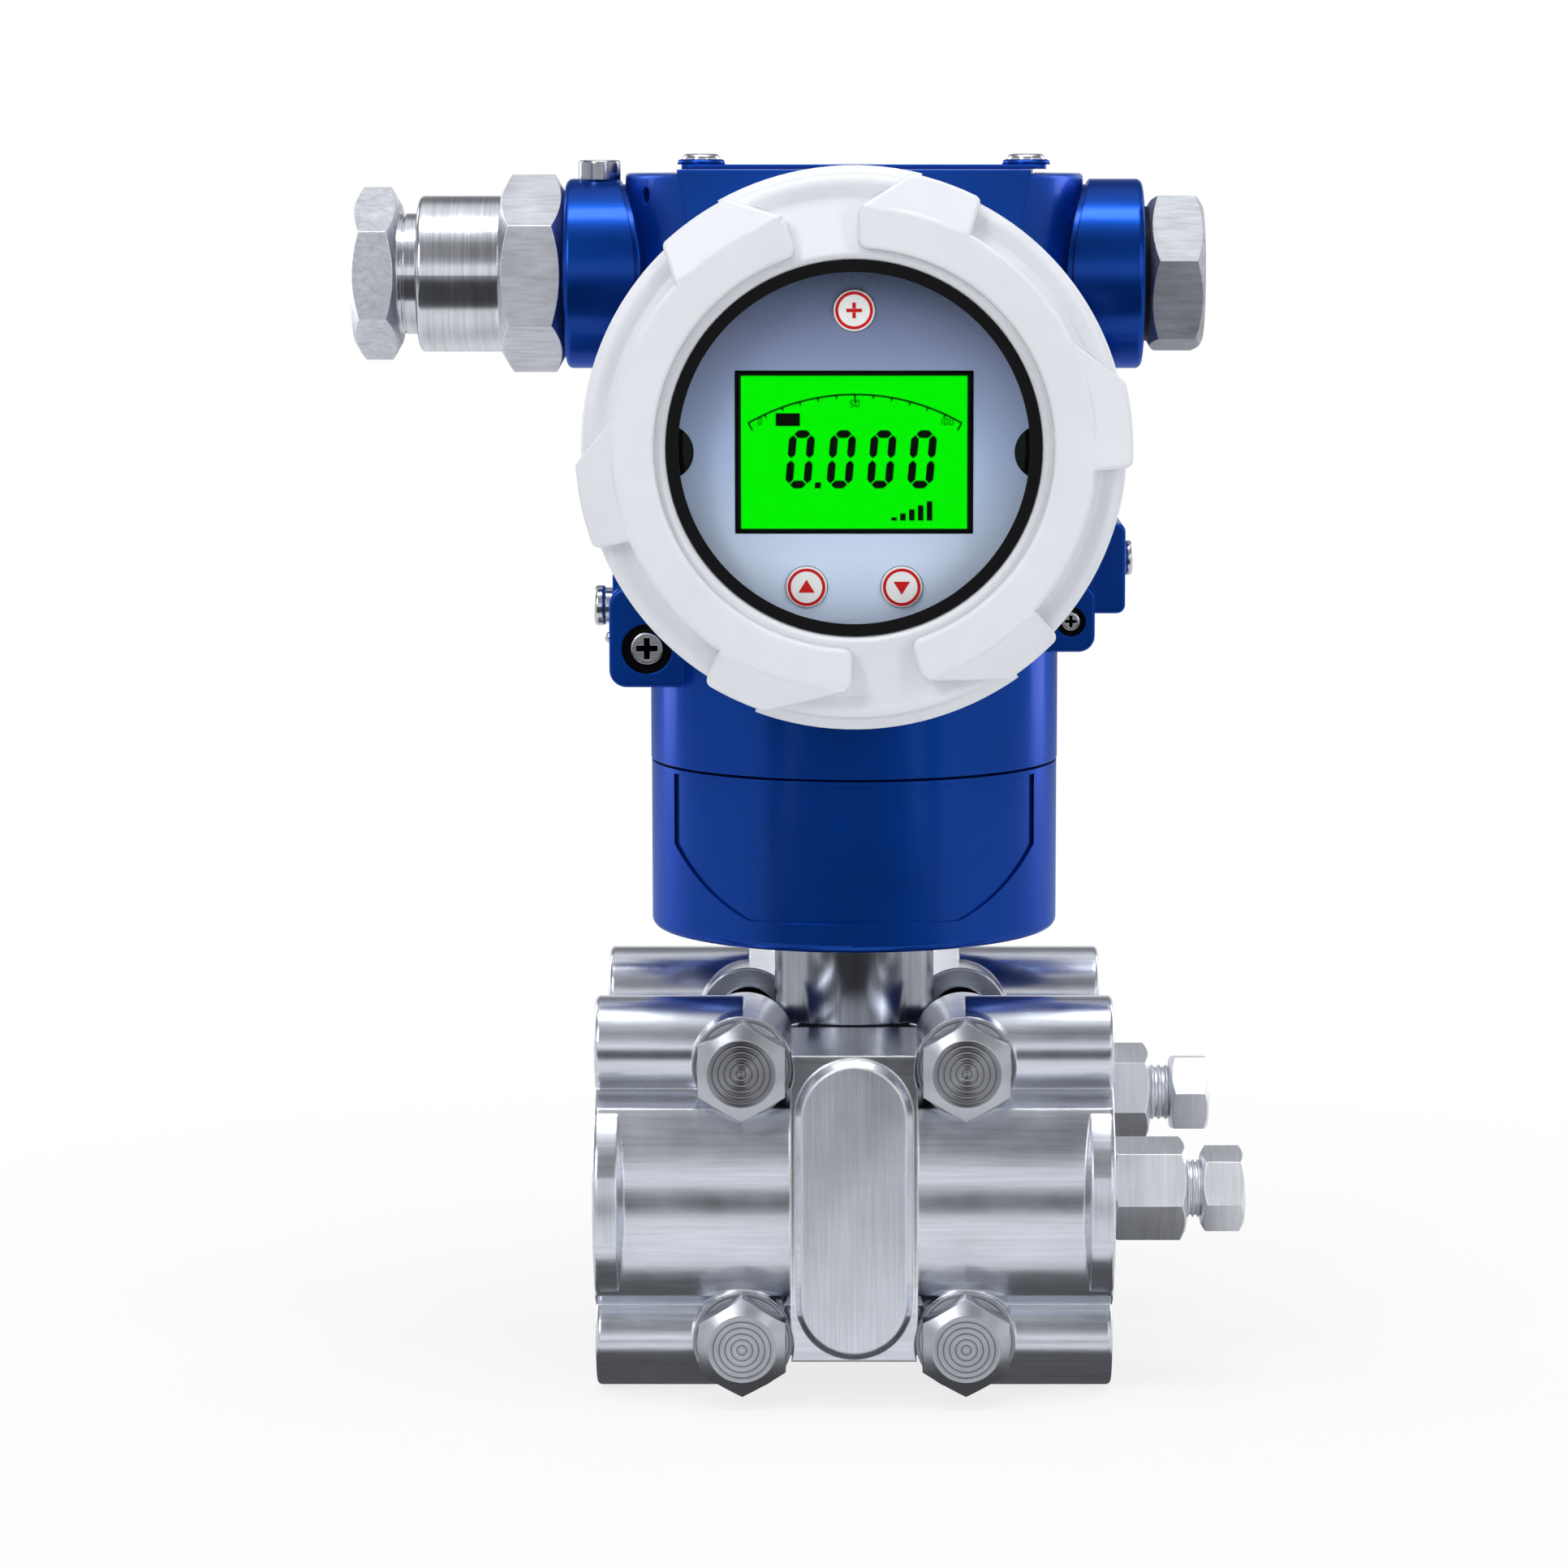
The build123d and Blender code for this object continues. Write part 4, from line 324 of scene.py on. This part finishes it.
# Paints
BLUE = (0.002, 0.05, 0.33)
WHITE = (0.80, 0.82, 0.86)
BLUE_COAT = {
    "peel": 0.000014, "grain": 1400.0, "flake": 0.8, "gloss": 0.05,
    "Specular_Tint": (0.25, 0.5, 1.0, 1.0), "Coat_Weight": 0.2, "Coat_Roughness": 0.14,
}
blue_paint = paint("blue_paint", BLUE, 0.3, edge=0.0005, **BLUE_COAT)
painted_pocket_shade(blue_paint)
neck_paint = paint("neck_paint", BLUE, 0.3, edge=0.00012, **BLUE_COAT)
white_paint = paint("white_paint", WHITE, 0.36, peel=0.000006, edge=0.0006, gloss=0.35)

# Steels; the limits are in mm from the neck's axis
PAD_FACE = 47.6
GLAND_HEX_END = 66.0
CLAMP_NECK_END = 85.1
LINES_ALONG_X = (130.0, 1000.0, 1000.0)
LINES_AROUND_X = (1800.0, 60.0, 60.0)
PALE_STEEL = (0.66, 0.68, 0.73)
cast_steel = metal(
    "cast_steel", (0.68, 0.71, 0.775), 0.23, brush=(45.0, 1300.0, 1300.0), depth=0.000001,
    pits=0.000001, edge=0.0006, contrast=0.2, beyond=("Y", PAD_FACE, (2600.0, 60.0, 45.0), 0.15),
)
# The turned steel is toned dark: painted shade for the shadow under the housing on the capsule's neck tube.
turned_steel = metal(
    "turned_steel", (0.32, 0.335, 0.37), 0.17, brush=(700.0, 700.0, 25.0), depth=0.000003,
    contrast=0.35,
)
gland_steel = metal(
    "gland_steel", PALE_STEEL, 0.36, brush=LINES_ALONG_X, depth=0.00001, edge=0.00025,
    contrast=0.3, beyond=("X", GLAND_HEX_END, LINES_AROUND_X, -0.18),
)
clamp_steel = metal(
    "clamp_steel", PALE_STEEL, 0.18, brush=LINES_AROUND_X, depth=0.000006, edge=0.00025,
    contrast=0.3, beyond=("X", CLAMP_NECK_END, (700.0, 1000.0, 1000.0), 0.2),
)
plug_steel = metal(
    "plug_steel", (0.4, 0.415, 0.44), 0.62, brush=LINES_ALONG_X, depth=0.00001, edge=0.00025,
    contrast=0.3,
)
valve_steel = metal(
    "valve_steel", (0.82, 0.84, 0.89), 0.42, brush=(1500.0, 80.0, 80.0), depth=0.000002,
    pits=0.000002, edge=0.0003,
)
plate_steel = metal("plate_steel", (0.62, 0.63, 0.66), 0.2, edge=0.0002)
left_cross = cross_head("left")
right_cross = cross_head("right")
bolt_steel = turned_bolts("bolt_steel", PALE_STEEL, 0.28)

# Plastics, rubber and print
black_rubber = plastic("black_rubber", (0.004, 0.004, 0.005), 0.5, bump=0.00001, gloss=0.12)
dark_board = plastic("dark_board", (0.02, 0.05, 0.035), 0.5)
button_white = plastic("button_white", (0.95, 0.95, 0.96), 0.4)
button_red = plastic("button_red", (0.7, 0.008, 0.01), 0.45, gloss=0.1)
ink_black = plastic("ink_black", (0.001, 0.002, 0.001), 0.6, gloss=0.0)

# Display film: heights in metres between which its tone changes, and the tones from below upwards
FILM_HEIGHTS = (0.143, 0.211)
FILM_TONES = (
    (0.0, (0.68, 0.79, 1.0)), (0.2, (0.66, 0.78, 0.98)), (0.48, (0.42, 0.54, 0.80)),
    (0.78, (0.2, 0.24, 0.40)), (1.0, (0.03, 0.055, 0.12)),
)


def film_material():
    """Grey-blue front sheet of the display, a fine satin film that is darker at its top."""
    material, tree, bsdf = shader("display_film", (0.2, 0.28, 0.44), 0.45, Specular_IOR_Level=0.15)
    grain = noise(tree, place(tree), scale=1500.0)
    stops = put(tree, "ValToRGB", {0: ramp(tree, coordinates(tree)["Z"], *FILM_HEIGHTS)})
    set_stops(stops, FILM_TONES)
    worn = tint(tree, spread(tree, grain, 0.0, 0.06), stops.outputs[0], (0.5, 0.55, 0.65))
    tree.links.new(worn, bsdf.inputs["Base Color"])
    relief(tree, bsdf, [(grain, 0.000004)], edge=0.0001)
    return material


def glow_material():
    """Lit liquid crystal: saturated green with a faint grid of cells."""
    material, tree, bsdf = shader("screen_glow", (0.0, 0.05, 0.0), 0.6, Specular_IOR_Level=0.0)
    cells = noise(tree, place(tree), scale=900.0)
    tree.links.new(tint(tree, cells, (0.0, 0.84, 0.0), (0.0, 0.93, 0.0)), bsdf.inputs["Emission Color"])
    bsdf.inputs["Emission Strength"].default_value = 0.95
    return material


def glass_material():
    """Clear window with a faint smear."""
    material, tree, bsdf = shader(
        "window_glass", (0.99, 0.995, 0.995), 0.0, Transmission_Weight=1.0, IOR=1.1,
    )
    smear = noise(tree, place(tree), scale=60.0)
    tree.links.new(ramp(tree, smear, 0.4, 0.8, 0.0, 0.03), bsdf.inputs["Roughness"])
    return material


display_film = film_material()
screen_glow = glow_material()
window_glass = glass_material()

SURFACES = {
    "housing": blue_paint, "neck_shell": neck_paint,
    "front_cover": white_paint, "rear_cover": white_paint,
    "front_flange": cast_steel, "rear_flange": cast_steel, "capsule": turned_steel,
    "flange_bolts": bolt_steel, "bolt_washers": bolt_steel, "flange_nuts": bolt_steel,
    "front_vent_body": valve_steel, "front_vent_screw": valve_steel,
    "rear_vent_body": valve_steel, "rear_vent_screw": valve_steel,
    "gland_body": gland_steel, "clamp_nut": clamp_steel, "blanking_plug": plug_steel,
    "name_plate": blue_paint, "plate_screws": plate_steel, "lock_screw": turned_steel,
    "left_ear_screw": left_cross, "right_ear_screw": right_cross,
    "left_earth_screw": plate_steel, "right_earth_screw": plate_steel,
    "left_earth_washer": plate_steel, "right_earth_washer": plate_steel,
    "set_screw": plate_steel, "terminal_screws": plate_steel,
    "window_glass": window_glass, "window_seal": black_rubber, "glass_ring": black_rubber,
    "display_face": display_film, "display_screen": ink_black, "display_board": dark_board,
    "display_carrier": black_rubber, "electronics_module": dark_board, "terminal_block": dark_board,
    "top_button": button_white, "left_button": button_white, "right_button": button_white,
    "gland_bush": black_rubber, "plug_ring": black_rubber, "neck_seal": black_rubber,
    "flange_seals": black_rubber, "front_cover_ring": black_rubber, "rear_cover_ring": black_rubber,
}
for name, material in SURFACES.items():
    mesh = nodes[name].data
    mesh.materials.clear()
    mesh.materials.append(material)


# Mesh helpers for the pieces that are added to the frame, in mm
def piece(name, vertices, faces, material, body, smooth=False):
    mesh = bpy.data.meshes.new(name)
    mesh.from_pydata([Vector(v) * MM for v in vertices], [], faces)
    mesh.validate()
    mesh.polygons.foreach_set("use_smooth", [smooth] * len(mesh.polygons))
    mesh.materials.append(material)
    obj = bpy.data.objects.new(name, mesh)
    bpy.context.scene.collection.objects.link(obj)
    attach(obj, body)
    return obj


def flat_print(name, outlines, depth, material, body):
    """Thin plates at a depth in front of Y = 0; outlines in x, z, counter-clockwise from the front."""
    vertices, faces = [], []
    for outline in outlines:
        base = len(vertices)
        count = len(outline)
        vertices += [(x, -depth, z) for x, z in outline]
        vertices += [(x, -depth - PRINT_THICKNESS, z) for x, z in outline]
        faces.append([base + count + i for i in range(count)])
        faces.append([base + count - 1 - i for i in range(count)])
        for i in range(count):
            after = (i + 1) % count
            faces.append([base + i, base + after, base + count + after, base + count + i])
    return piece(name, vertices, faces, material, body)


def box(left, bottom, width, height):
    right, top = left + width, bottom + height
    return [(left, bottom), (right, bottom), (right, top), (left, top)]


def moved(outline, x, z):
    return [(x + a, z + b) for a, b in outline]


def ring_strip(cx, cz, inner, outer, start=0.0, end=360.0, steps=48):
    """Quads of a flat ring or arc in x, z."""
    def at(radius, angle):
        return (cx + radius * math.cos(math.radians(angle)), cz + radius * math.sin(math.radians(angle)))
    angles = [start + (end - start) * i / steps for i in range(steps + 1)]
    return [
        [at(inner, a), at(outer, a), at(outer, b), at(inner, b)] for a, b in zip(angles, angles[1:])
    ]


def lathe(name, profile, axis, first, second, material, body, steps=64):
    """Closed profile of (place on the axis, radius) points turned about an axis along X or Z.

    first and second are the axis's own coordinates: y, z for an axis along X, and x, y along Z.
    """
    vertices, faces = [], []
    count = len(profile)
    for i in range(steps):
        angle = math.tau * i / steps
        for along, radius in profile:
            a, b = first + radius * math.cos(angle), second + radius * math.sin(angle)
            vertices.append((along, a, b) if axis == "X" else (a, b, along))
    for i in range(steps):
        for j in range(count):
            a, b = i * count, ((i + 1) % steps) * count
            faces.append([a + j, b + j, b + (j + 1) % count, a + (j + 1) % count])
    return piece(name, vertices, faces, material, body, smooth=True)


# Display, in mm: places are from the middle of the screen
PRINT_THICKNESS = 0.02
LIT_WIDTH = 40.76
LIT_HEIGHT = 27.51
DIGIT_WIDTH = 4.66
DIGIT_HEIGHT = 10.48
DIGIT_STROKE = 1.4
DIGIT_BOTTOM = -6.48
DIGIT_LEFTS = (-12.52, -5.09, 2.18, 9.46)
DIGIT_SLANT = 0.09
SEGMENT_GAP = 0.12
DOT_LEFT = -7.13
DOT = ((0.0, 0.0), (1.1, 0.0), (1.2, 1.1), (0.1, 1.1))
SCALE_R = 38.5
SCALE_X = 0.15
SCALE_TOP = 10.41
SCALE_HALF_WIDTH = 19.21
SCALE_LINE = 0.32
TICKS = 12
LONG_TICKS = (0, 6, 12)
LONG_TICK, SHORT_TICK = 1.5, 0.7
TICK_HALF_ANGLE = 0.22
NUMBERS = (("0", -16.89, 4.88), ("50", 0.15, 8.08), ("100", 16.59, 4.88))
NUMBER_WIDTH, NUMBER_HEIGHT, NUMBER_STROKE, NUMBER_STEP = 0.75, 1.35, 0.2, 1.0
MARK_BOX = (-14.12, 4.73, 4.37, 2.33)
BARS = 5
BAR_LEFT, BAR_BOTTOM, BAR_WIDTH, BAR_STEP = 6.7, -12.3, 1.02, 1.6
BAR_HEIGHT, BAR_GROWTH = 0.58, 0.73
# Ends of the seven segments on a digit of unit size, and the segments that each digit lights
SEGMENTS = {
    "top": ((0, 1), (1, 1)), "middle": ((0, 0.5), (1, 0.5)), "bottom": ((0, 0), (1, 0)),
    "upper_left": ((0, 0.5), (0, 1)), "upper_right": ((1, 0.5), (1, 1)),
    "lower_left": ((0, 0), (0, 0.5)), "lower_right": ((1, 0), (1, 0.5)),
}
LIT = {
    "0": ("top", "bottom", "upper_left", "upper_right", "lower_left", "lower_right"),
    "1": ("upper_right", "lower_right"),
    "5": ("top", "middle", "bottom", "upper_left", "lower_right"),
}


def digit(character, left, bottom, width, height, thick):
    """Six-cornered bars of one slanted seven-segment digit, in x, z."""
    bars = []
    for name in LIT[character]:
        (ax, az), (bx, bz) = SEGMENTS[name]
        start = Vector((ax * (width - thick) + thick / 2, az * (height - thick) + thick / 2))
        end = Vector((bx * (width - thick) + thick / 2, bz * (height - thick) + thick / 2))
        along = (end - start).normalized()
        side = Vector((-along.y, along.x)) * (thick / 2)
        start += along * thick * SEGMENT_GAP
        end -= along * thick * SEGMENT_GAP
        corners = [
            start, start + along * thick / 2 - side, end - along * thick / 2 - side, end,
            end - along * thick / 2 + side, start + along * thick / 2 + side,
        ]
        bars.append([(left + c.x + DIGIT_SLANT * c.y, bottom + c.y) for c in corners])
    return bars


def reading_marks():
    """Four large digits with a decimal point."""
    marks = []
    for left in DIGIT_LEFTS:
        marks += digit("0", left, DIGIT_BOTTOM, DIGIT_WIDTH, DIGIT_HEIGHT, DIGIT_STROKE)
    marks.append(moved(DOT, DOT_LEFT, DIGIT_BOTTOM))
    return marks


def scale_marks():
    """Arc scale with its ticks and plain numbers."""
    centre_z = SCALE_TOP - SCALE_R
    half = math.degrees(math.asin(SCALE_HALF_WIDTH / SCALE_R))
    inner, outer = SCALE_R - SCALE_LINE / 2, SCALE_R + SCALE_LINE / 2
    marks = ring_strip(SCALE_X, centre_z, inner, outer, 90 - half, 90 + half, 40)
    for step in range(TICKS + 1):
        angle = 90 - half + 2 * half * step / TICKS
        foot = SCALE_R - (LONG_TICK if step in LONG_TICKS else SHORT_TICK)
        start, end = angle - TICK_HALF_ANGLE, angle + TICK_HALF_ANGLE
        marks += ring_strip(SCALE_X, centre_z, foot, SCALE_R, start, end, 1)
    for number, x, z in NUMBERS:
        left = x - NUMBER_STEP * len(number) / 2
        for position, character in enumerate(number):
            number_left = left + NUMBER_STEP * position
            marks += digit(character, number_left, z, NUMBER_WIDTH, NUMBER_HEIGHT, NUMBER_STROKE)
    return marks


def bar_marks():
    """A filled box and a row of growing bars."""
    marks = [box(*MARK_BOX)]
    for step in range(BARS):
        marks.append(box(BAR_LEFT + BAR_STEP * step, BAR_BOTTOM, BAR_WIDTH, BAR_HEIGHT + BAR_GROWTH * step))
    return marks


screen = middle("display_screen")
screen_depth = -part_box("display_screen")[0].y / MM
lit_area = moved(box(-LIT_WIDTH / 2, -LIT_HEIGHT / 2, LIT_WIDTH, LIT_HEIGHT), screen.x, screen.z)
flat_print("screen_glow", [lit_area], screen_depth, screen_glow, "housing")
screen_marks = [
    moved(mark, screen.x, screen.z) for mark in reading_marks() + scale_marks() + bar_marks()
]
flat_print(
    "screen_marks", screen_marks, screen_depth + PRINT_THICKNESS, ink_black, "housing",
)

# Buttons, in mm: red rings and plain symbols, which are an upright cross and two arrows
BUTTON_X = {"top": 0.0, "left": -8.6, "right": 8.6}
BUTTON_RING = (2.85, 3.4)
CROSS_REACH, CROSS_HALF, CROSS_CUT = 1.4, 0.32, 0.35
SYMBOLS = {
    "top": [
        box(-CROSS_REACH, -CROSS_HALF, 2 * CROSS_REACH, 2 * CROSS_HALF),
        box(-CROSS_HALF, CROSS_CUT, 2 * CROSS_HALF, CROSS_REACH - CROSS_CUT),
        box(-CROSS_HALF, -CROSS_REACH, 2 * CROSS_HALF, CROSS_REACH - CROSS_CUT),
    ],
    "left": [[(-1.5, -1.0), (1.5, -1.0), (0.0, 1.4)]],
    "right": [[(-1.5, 1.0), (0.0, -1.4), (1.5, 1.0)]],
}
for name, x in BUTTON_X.items():
    button = f"{name}_button"
    z = middle(button).z
    depth = -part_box(button)[0].y / MM
    shapes = ring_strip(x, z, *BUTTON_RING) + [moved(shape, x, z) for shape in SYMBOLS[name]]
    flat_print(f"{button}_print", shapes, depth, button_red, f"button_{name}")

# Threads of the vent screws, in mm: three crests on the neck that shows outside each valve body
VENT_NECKS = {"front": 2.9, "rear": 4.1}
THREADS = 3
THREAD_ROOT_R, THREAD_CREST_R = 4.9, 5.35
ROOT_SHARE, CREST_SHARE = 0.36, 0.12
for side, length in VENT_NECKS.items():
    valve = middle(f"{side}_vent_body")
    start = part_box(f"{side}_vent_body")[1].x / MM
    pitch = length / THREADS
    for i in range(THREADS):
        x = start + pitch * (i + 0.5)
        profile = [
            (x - pitch * ROOT_SHARE, THREAD_ROOT_R), (x - pitch * CREST_SHARE, THREAD_CREST_R),
            (x + pitch * CREST_SHARE, THREAD_CREST_R), (x + pitch * ROOT_SHARE, THREAD_ROOT_R),
        ]
        lathe(
            f"{side}_vent_thread_{i + 1}", profile, "X", valve.y, valve.z,
            valve_steel, f"{side}_vent",
        )

# Blue collars under the heads of the plate screws, in mm: height above the plate and radius
PLATE_SCREW_SPACING = 61.0
COLLAR = ((0.0, 3.55), (0.0, 4.5), (0.8, 4.3), (1.0, 3.75), (1.0, 3.55))
plate_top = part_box("name_plate")[1].z / MM
for side, turn in (("left", -1), ("right", 1)):
    x = middle("name_plate").x + turn * PLATE_SCREW_SPACING / 2
    profile = [(plate_top + rise, radius) for rise, radius in COLLAR]
    lathe(f"{side}_collar", profile, "Z", x, 0.0, blue_paint, "housing", steps=48)

# Tip of a small screw in the left ear, in mm
PIN_Y, PIN_Z = -8.0, 138.5
PIN = ((-45.4, 0.0), (-45.4, 1.0), (-46.4, 1.0), (-46.9, 0.6), (-47.0, 0.0))
lathe("left_pin", PIN, "X", PIN_Y, PIN_Z, plate_steel, "housing")

# Sky: the height of a direction, from 0 straight down to 1 straight up, and its level in reflections
LOWEST_LIGHT = (0.5, 0.5, 0.52)
HIGHEST_LIGHT = (1.0, 1.0, 1.0)
SKY_LEVELS = (
    (0.5, 0.85), (0.53, 1.0), (0.6, 1.0), (0.66, 0.4), (0.74, 0.22), (0.86, 0.25), (0.94, 0.8),
)
SKY_BLUENESS = 1.03
CARD_BLUENESS = 1.04
AMBIENT = 0.36


def studio_sky():
    """White to the camera, a graded studio to reflections and a plain ambient light to the rest."""
    world = bpy.data.worlds.new("studio")
    bpy.context.scene.world = world
    world.use_nodes = True
    sky = world.node_tree
    sky.nodes.clear()
    path = put(sky, "LightPath").outputs
    direct = calc(sky, "MAXIMUM", path["Is Camera Ray"], path["Is Transmission Ray"])
    seen = calc(sky, "MAXIMUM", direct, path["Is Glossy Ray"])
    up = put(sky, "SeparateXYZ", {0: put(sky, "TexCoord").outputs["Generated"]}).outputs[2]
    studio = put(sky, "ValToRGB", {0: ramp(sky, up, -1.0, 1.0)})
    levels = [(spot, (level, level, level * SKY_BLUENESS)) for spot, level in SKY_LEVELS]
    set_stops(studio, [(0.0, LOWEST_LIGHT), *levels, (1.0, HIGHEST_LIGHT)])
    reflected = times(sky, path["Is Glossy Ray"], minus(sky, 1.0, path["Is Camera Ray"]))
    tone = tint(sky, reflected, (1.0, 1.0, 1.0), studio.outputs[0])
    shown = put(sky, "Background", {"Color": tone, "Strength": 1.0})
    ambient = put(sky, "Background", {"Color": (0.95, 0.97, 1.0, 1.0), "Strength": AMBIENT})
    both = put(sky, "MixShader", {0: seen, 1: ambient.outputs[0], 2: shown.outputs[0]})
    put(sky, "OutputWorld", {"Surface": both.outputs[0]})


# Floor and cards, in metres
def stage_piece(name, corners):
    mesh = bpy.data.meshes.new(name)
    mesh.from_pydata(corners, [], [(0, 1, 2, 3)])
    obj = bpy.data.objects.new(name, mesh)
    bpy.context.scene.collection.objects.link(obj)
    return obj


def lying(front_half, front_y, back_half, back_y, height):
    """Corners of a level card, by half its width at its front and at its back."""
    return [
        (-front_half, front_y, height), (front_half, front_y, height),
        (back_half, back_y, height), (-back_half, back_y, height),
    ]


def standing(front, back, height):
    """Corners of an upright card between two x, y points on the floor."""
    return [(*front, 0), (*back, 0), (*back, height), (*front, height)]


def card(name, corners, level):
    """Studio card of a grey level that only reflections see."""
    obj = stage_piece(name, corners)
    grey = (level, level, level * CARD_BLUENESS, 1.0)
    material = shader(
        name, (0.0, 0.0, 0.0), 1.0, Specular_IOR_Level=0.0, Emission_Color=grey, Emission_Strength=1.0,
    )[0]
    obj.data.materials.append(material)
    obj.visible_camera = False
    obj.visible_diffuse = False
    obj.visible_transmission = False
    obj.visible_shadow = False


def floor_material():
    """Pale floor that takes the object's shadow and fades to white away from it."""
    material, tree, bsdf = shader("floor", (0.9, 0.9, 0.9), 0.9)
    away = put(tree, "VectorMath", {0: place(tree)}, operation="LENGTH").outputs["Value"]
    path = put(tree, "LightPath").outputs
    direct = calc(tree, "MAXIMUM", path["Is Camera Ray"], path["Is Transmission Ray"])
    faded = times(tree, direct, ramp(tree, away, 0.08, 0.3, 0.8, 1.0))
    glow = put(tree, "Emission", {"Color": (1.0, 1.0, 1.0, 1.0), "Strength": 1.0})
    blend = put(tree, "MixShader", {0: faded, 1: bsdf.outputs[0], 2: glow.outputs[0]})
    tree.links.new(blend.outputs[0], tree.nodes["Material Output"].inputs["Surface"])
    return material


FLOOR_HALF = 9.0
FLOOR_DROP = 0.0003
studio_sky()
floor = stage_piece("floor", lying(FLOOR_HALF, -FLOOR_HALF, FLOOR_HALF, FLOOR_HALF, -FLOOR_DROP))
floor.data.materials.append(floor_material())
# The low card is a dark sheet just under the object: painted shade for the object's shadow on the floor, as
# reflections see it.
card("painted_shade_card", lying(0.07, -0.06, 0.07, 0.06, 0.0002), level=0.1)
card("card_floor", lying(0.7, -1.7, 0.35, -0.17, 0.0003), level=0.06)
card("card_left", standing((-0.62, -0.8), (-0.5, -0.45), height=0.8), level=0.02)
card("card_right", standing((0.62, -0.8), (0.5, -0.45), height=0.8), level=0.02)

# Lamps, in metres and watts: place, point that it faces, width, height and power
LAMPS = {
    "key": ((-0.6, -1.0, 0.75), (0, 0, 0.13), 0.3, 0.6, 4.2),
    "fill": ((0.75, -0.9, 0.45), (0, 0, 0.12), 0.25, 0.6, 2.4),
    "top": ((0.0, -0.15, 0.95), (0, 0, 0.12), 0.7, 0.22, 3.6),
    "back_left": ((-0.8, 0.6, 0.4), (0, 0, 0.12), 0.3, 0.9, 2.5),
    "back_right": ((0.8, 0.6, 0.4), (0, 0, 0.12), 0.3, 0.9, 2.5),
}
for name, (position, target, width, height, power) in LAMPS.items():
    lamp_data = bpy.data.lights.new(name, "AREA")
    lamp_data.shape = "RECTANGLE"
    lamp_data.size = width
    lamp_data.size_y = height
    lamp_data.energy = power
    lamp = bpy.data.objects.new(name, lamp_data)
    lamp.location = position
    lamp.rotation_euler = (Vector(target) - Vector(position)).to_track_quat("-Z", "Y").to_euler()
    bpy.context.scene.collection.objects.link(lamp)

# Camera: pixels are those of the 1932-pixel square picture, and places are in metres
FRAME_PX = 1932
FOCAL_PX = 6200
SHIFT_PX = -86.4
SENSOR_WIDTH = 36
CAMERA_PLACE = (0, -0.952, 0.2309)
CAMERA_TILT = 7.26
camera_data = bpy.data.cameras.new("camera")
camera_data.lens = FOCAL_PX / FRAME_PX * SENSOR_WIDTH
camera_data.sensor_width = SENSOR_WIDTH
camera_data.shift_x = SHIFT_PX / FRAME_PX
camera_data.clip_start = 0.05
camera_data.clip_end = 50
camera = bpy.data.objects.new("camera", camera_data)
camera.location = CAMERA_PLACE
camera.rotation_euler = (math.radians(90 - CAMERA_TILT), 0, 0)
bpy.context.scene.collection.objects.link(camera)
bpy.context.scene.camera = camera
bpy.context.scene.view_settings.view_transform = "Standard"
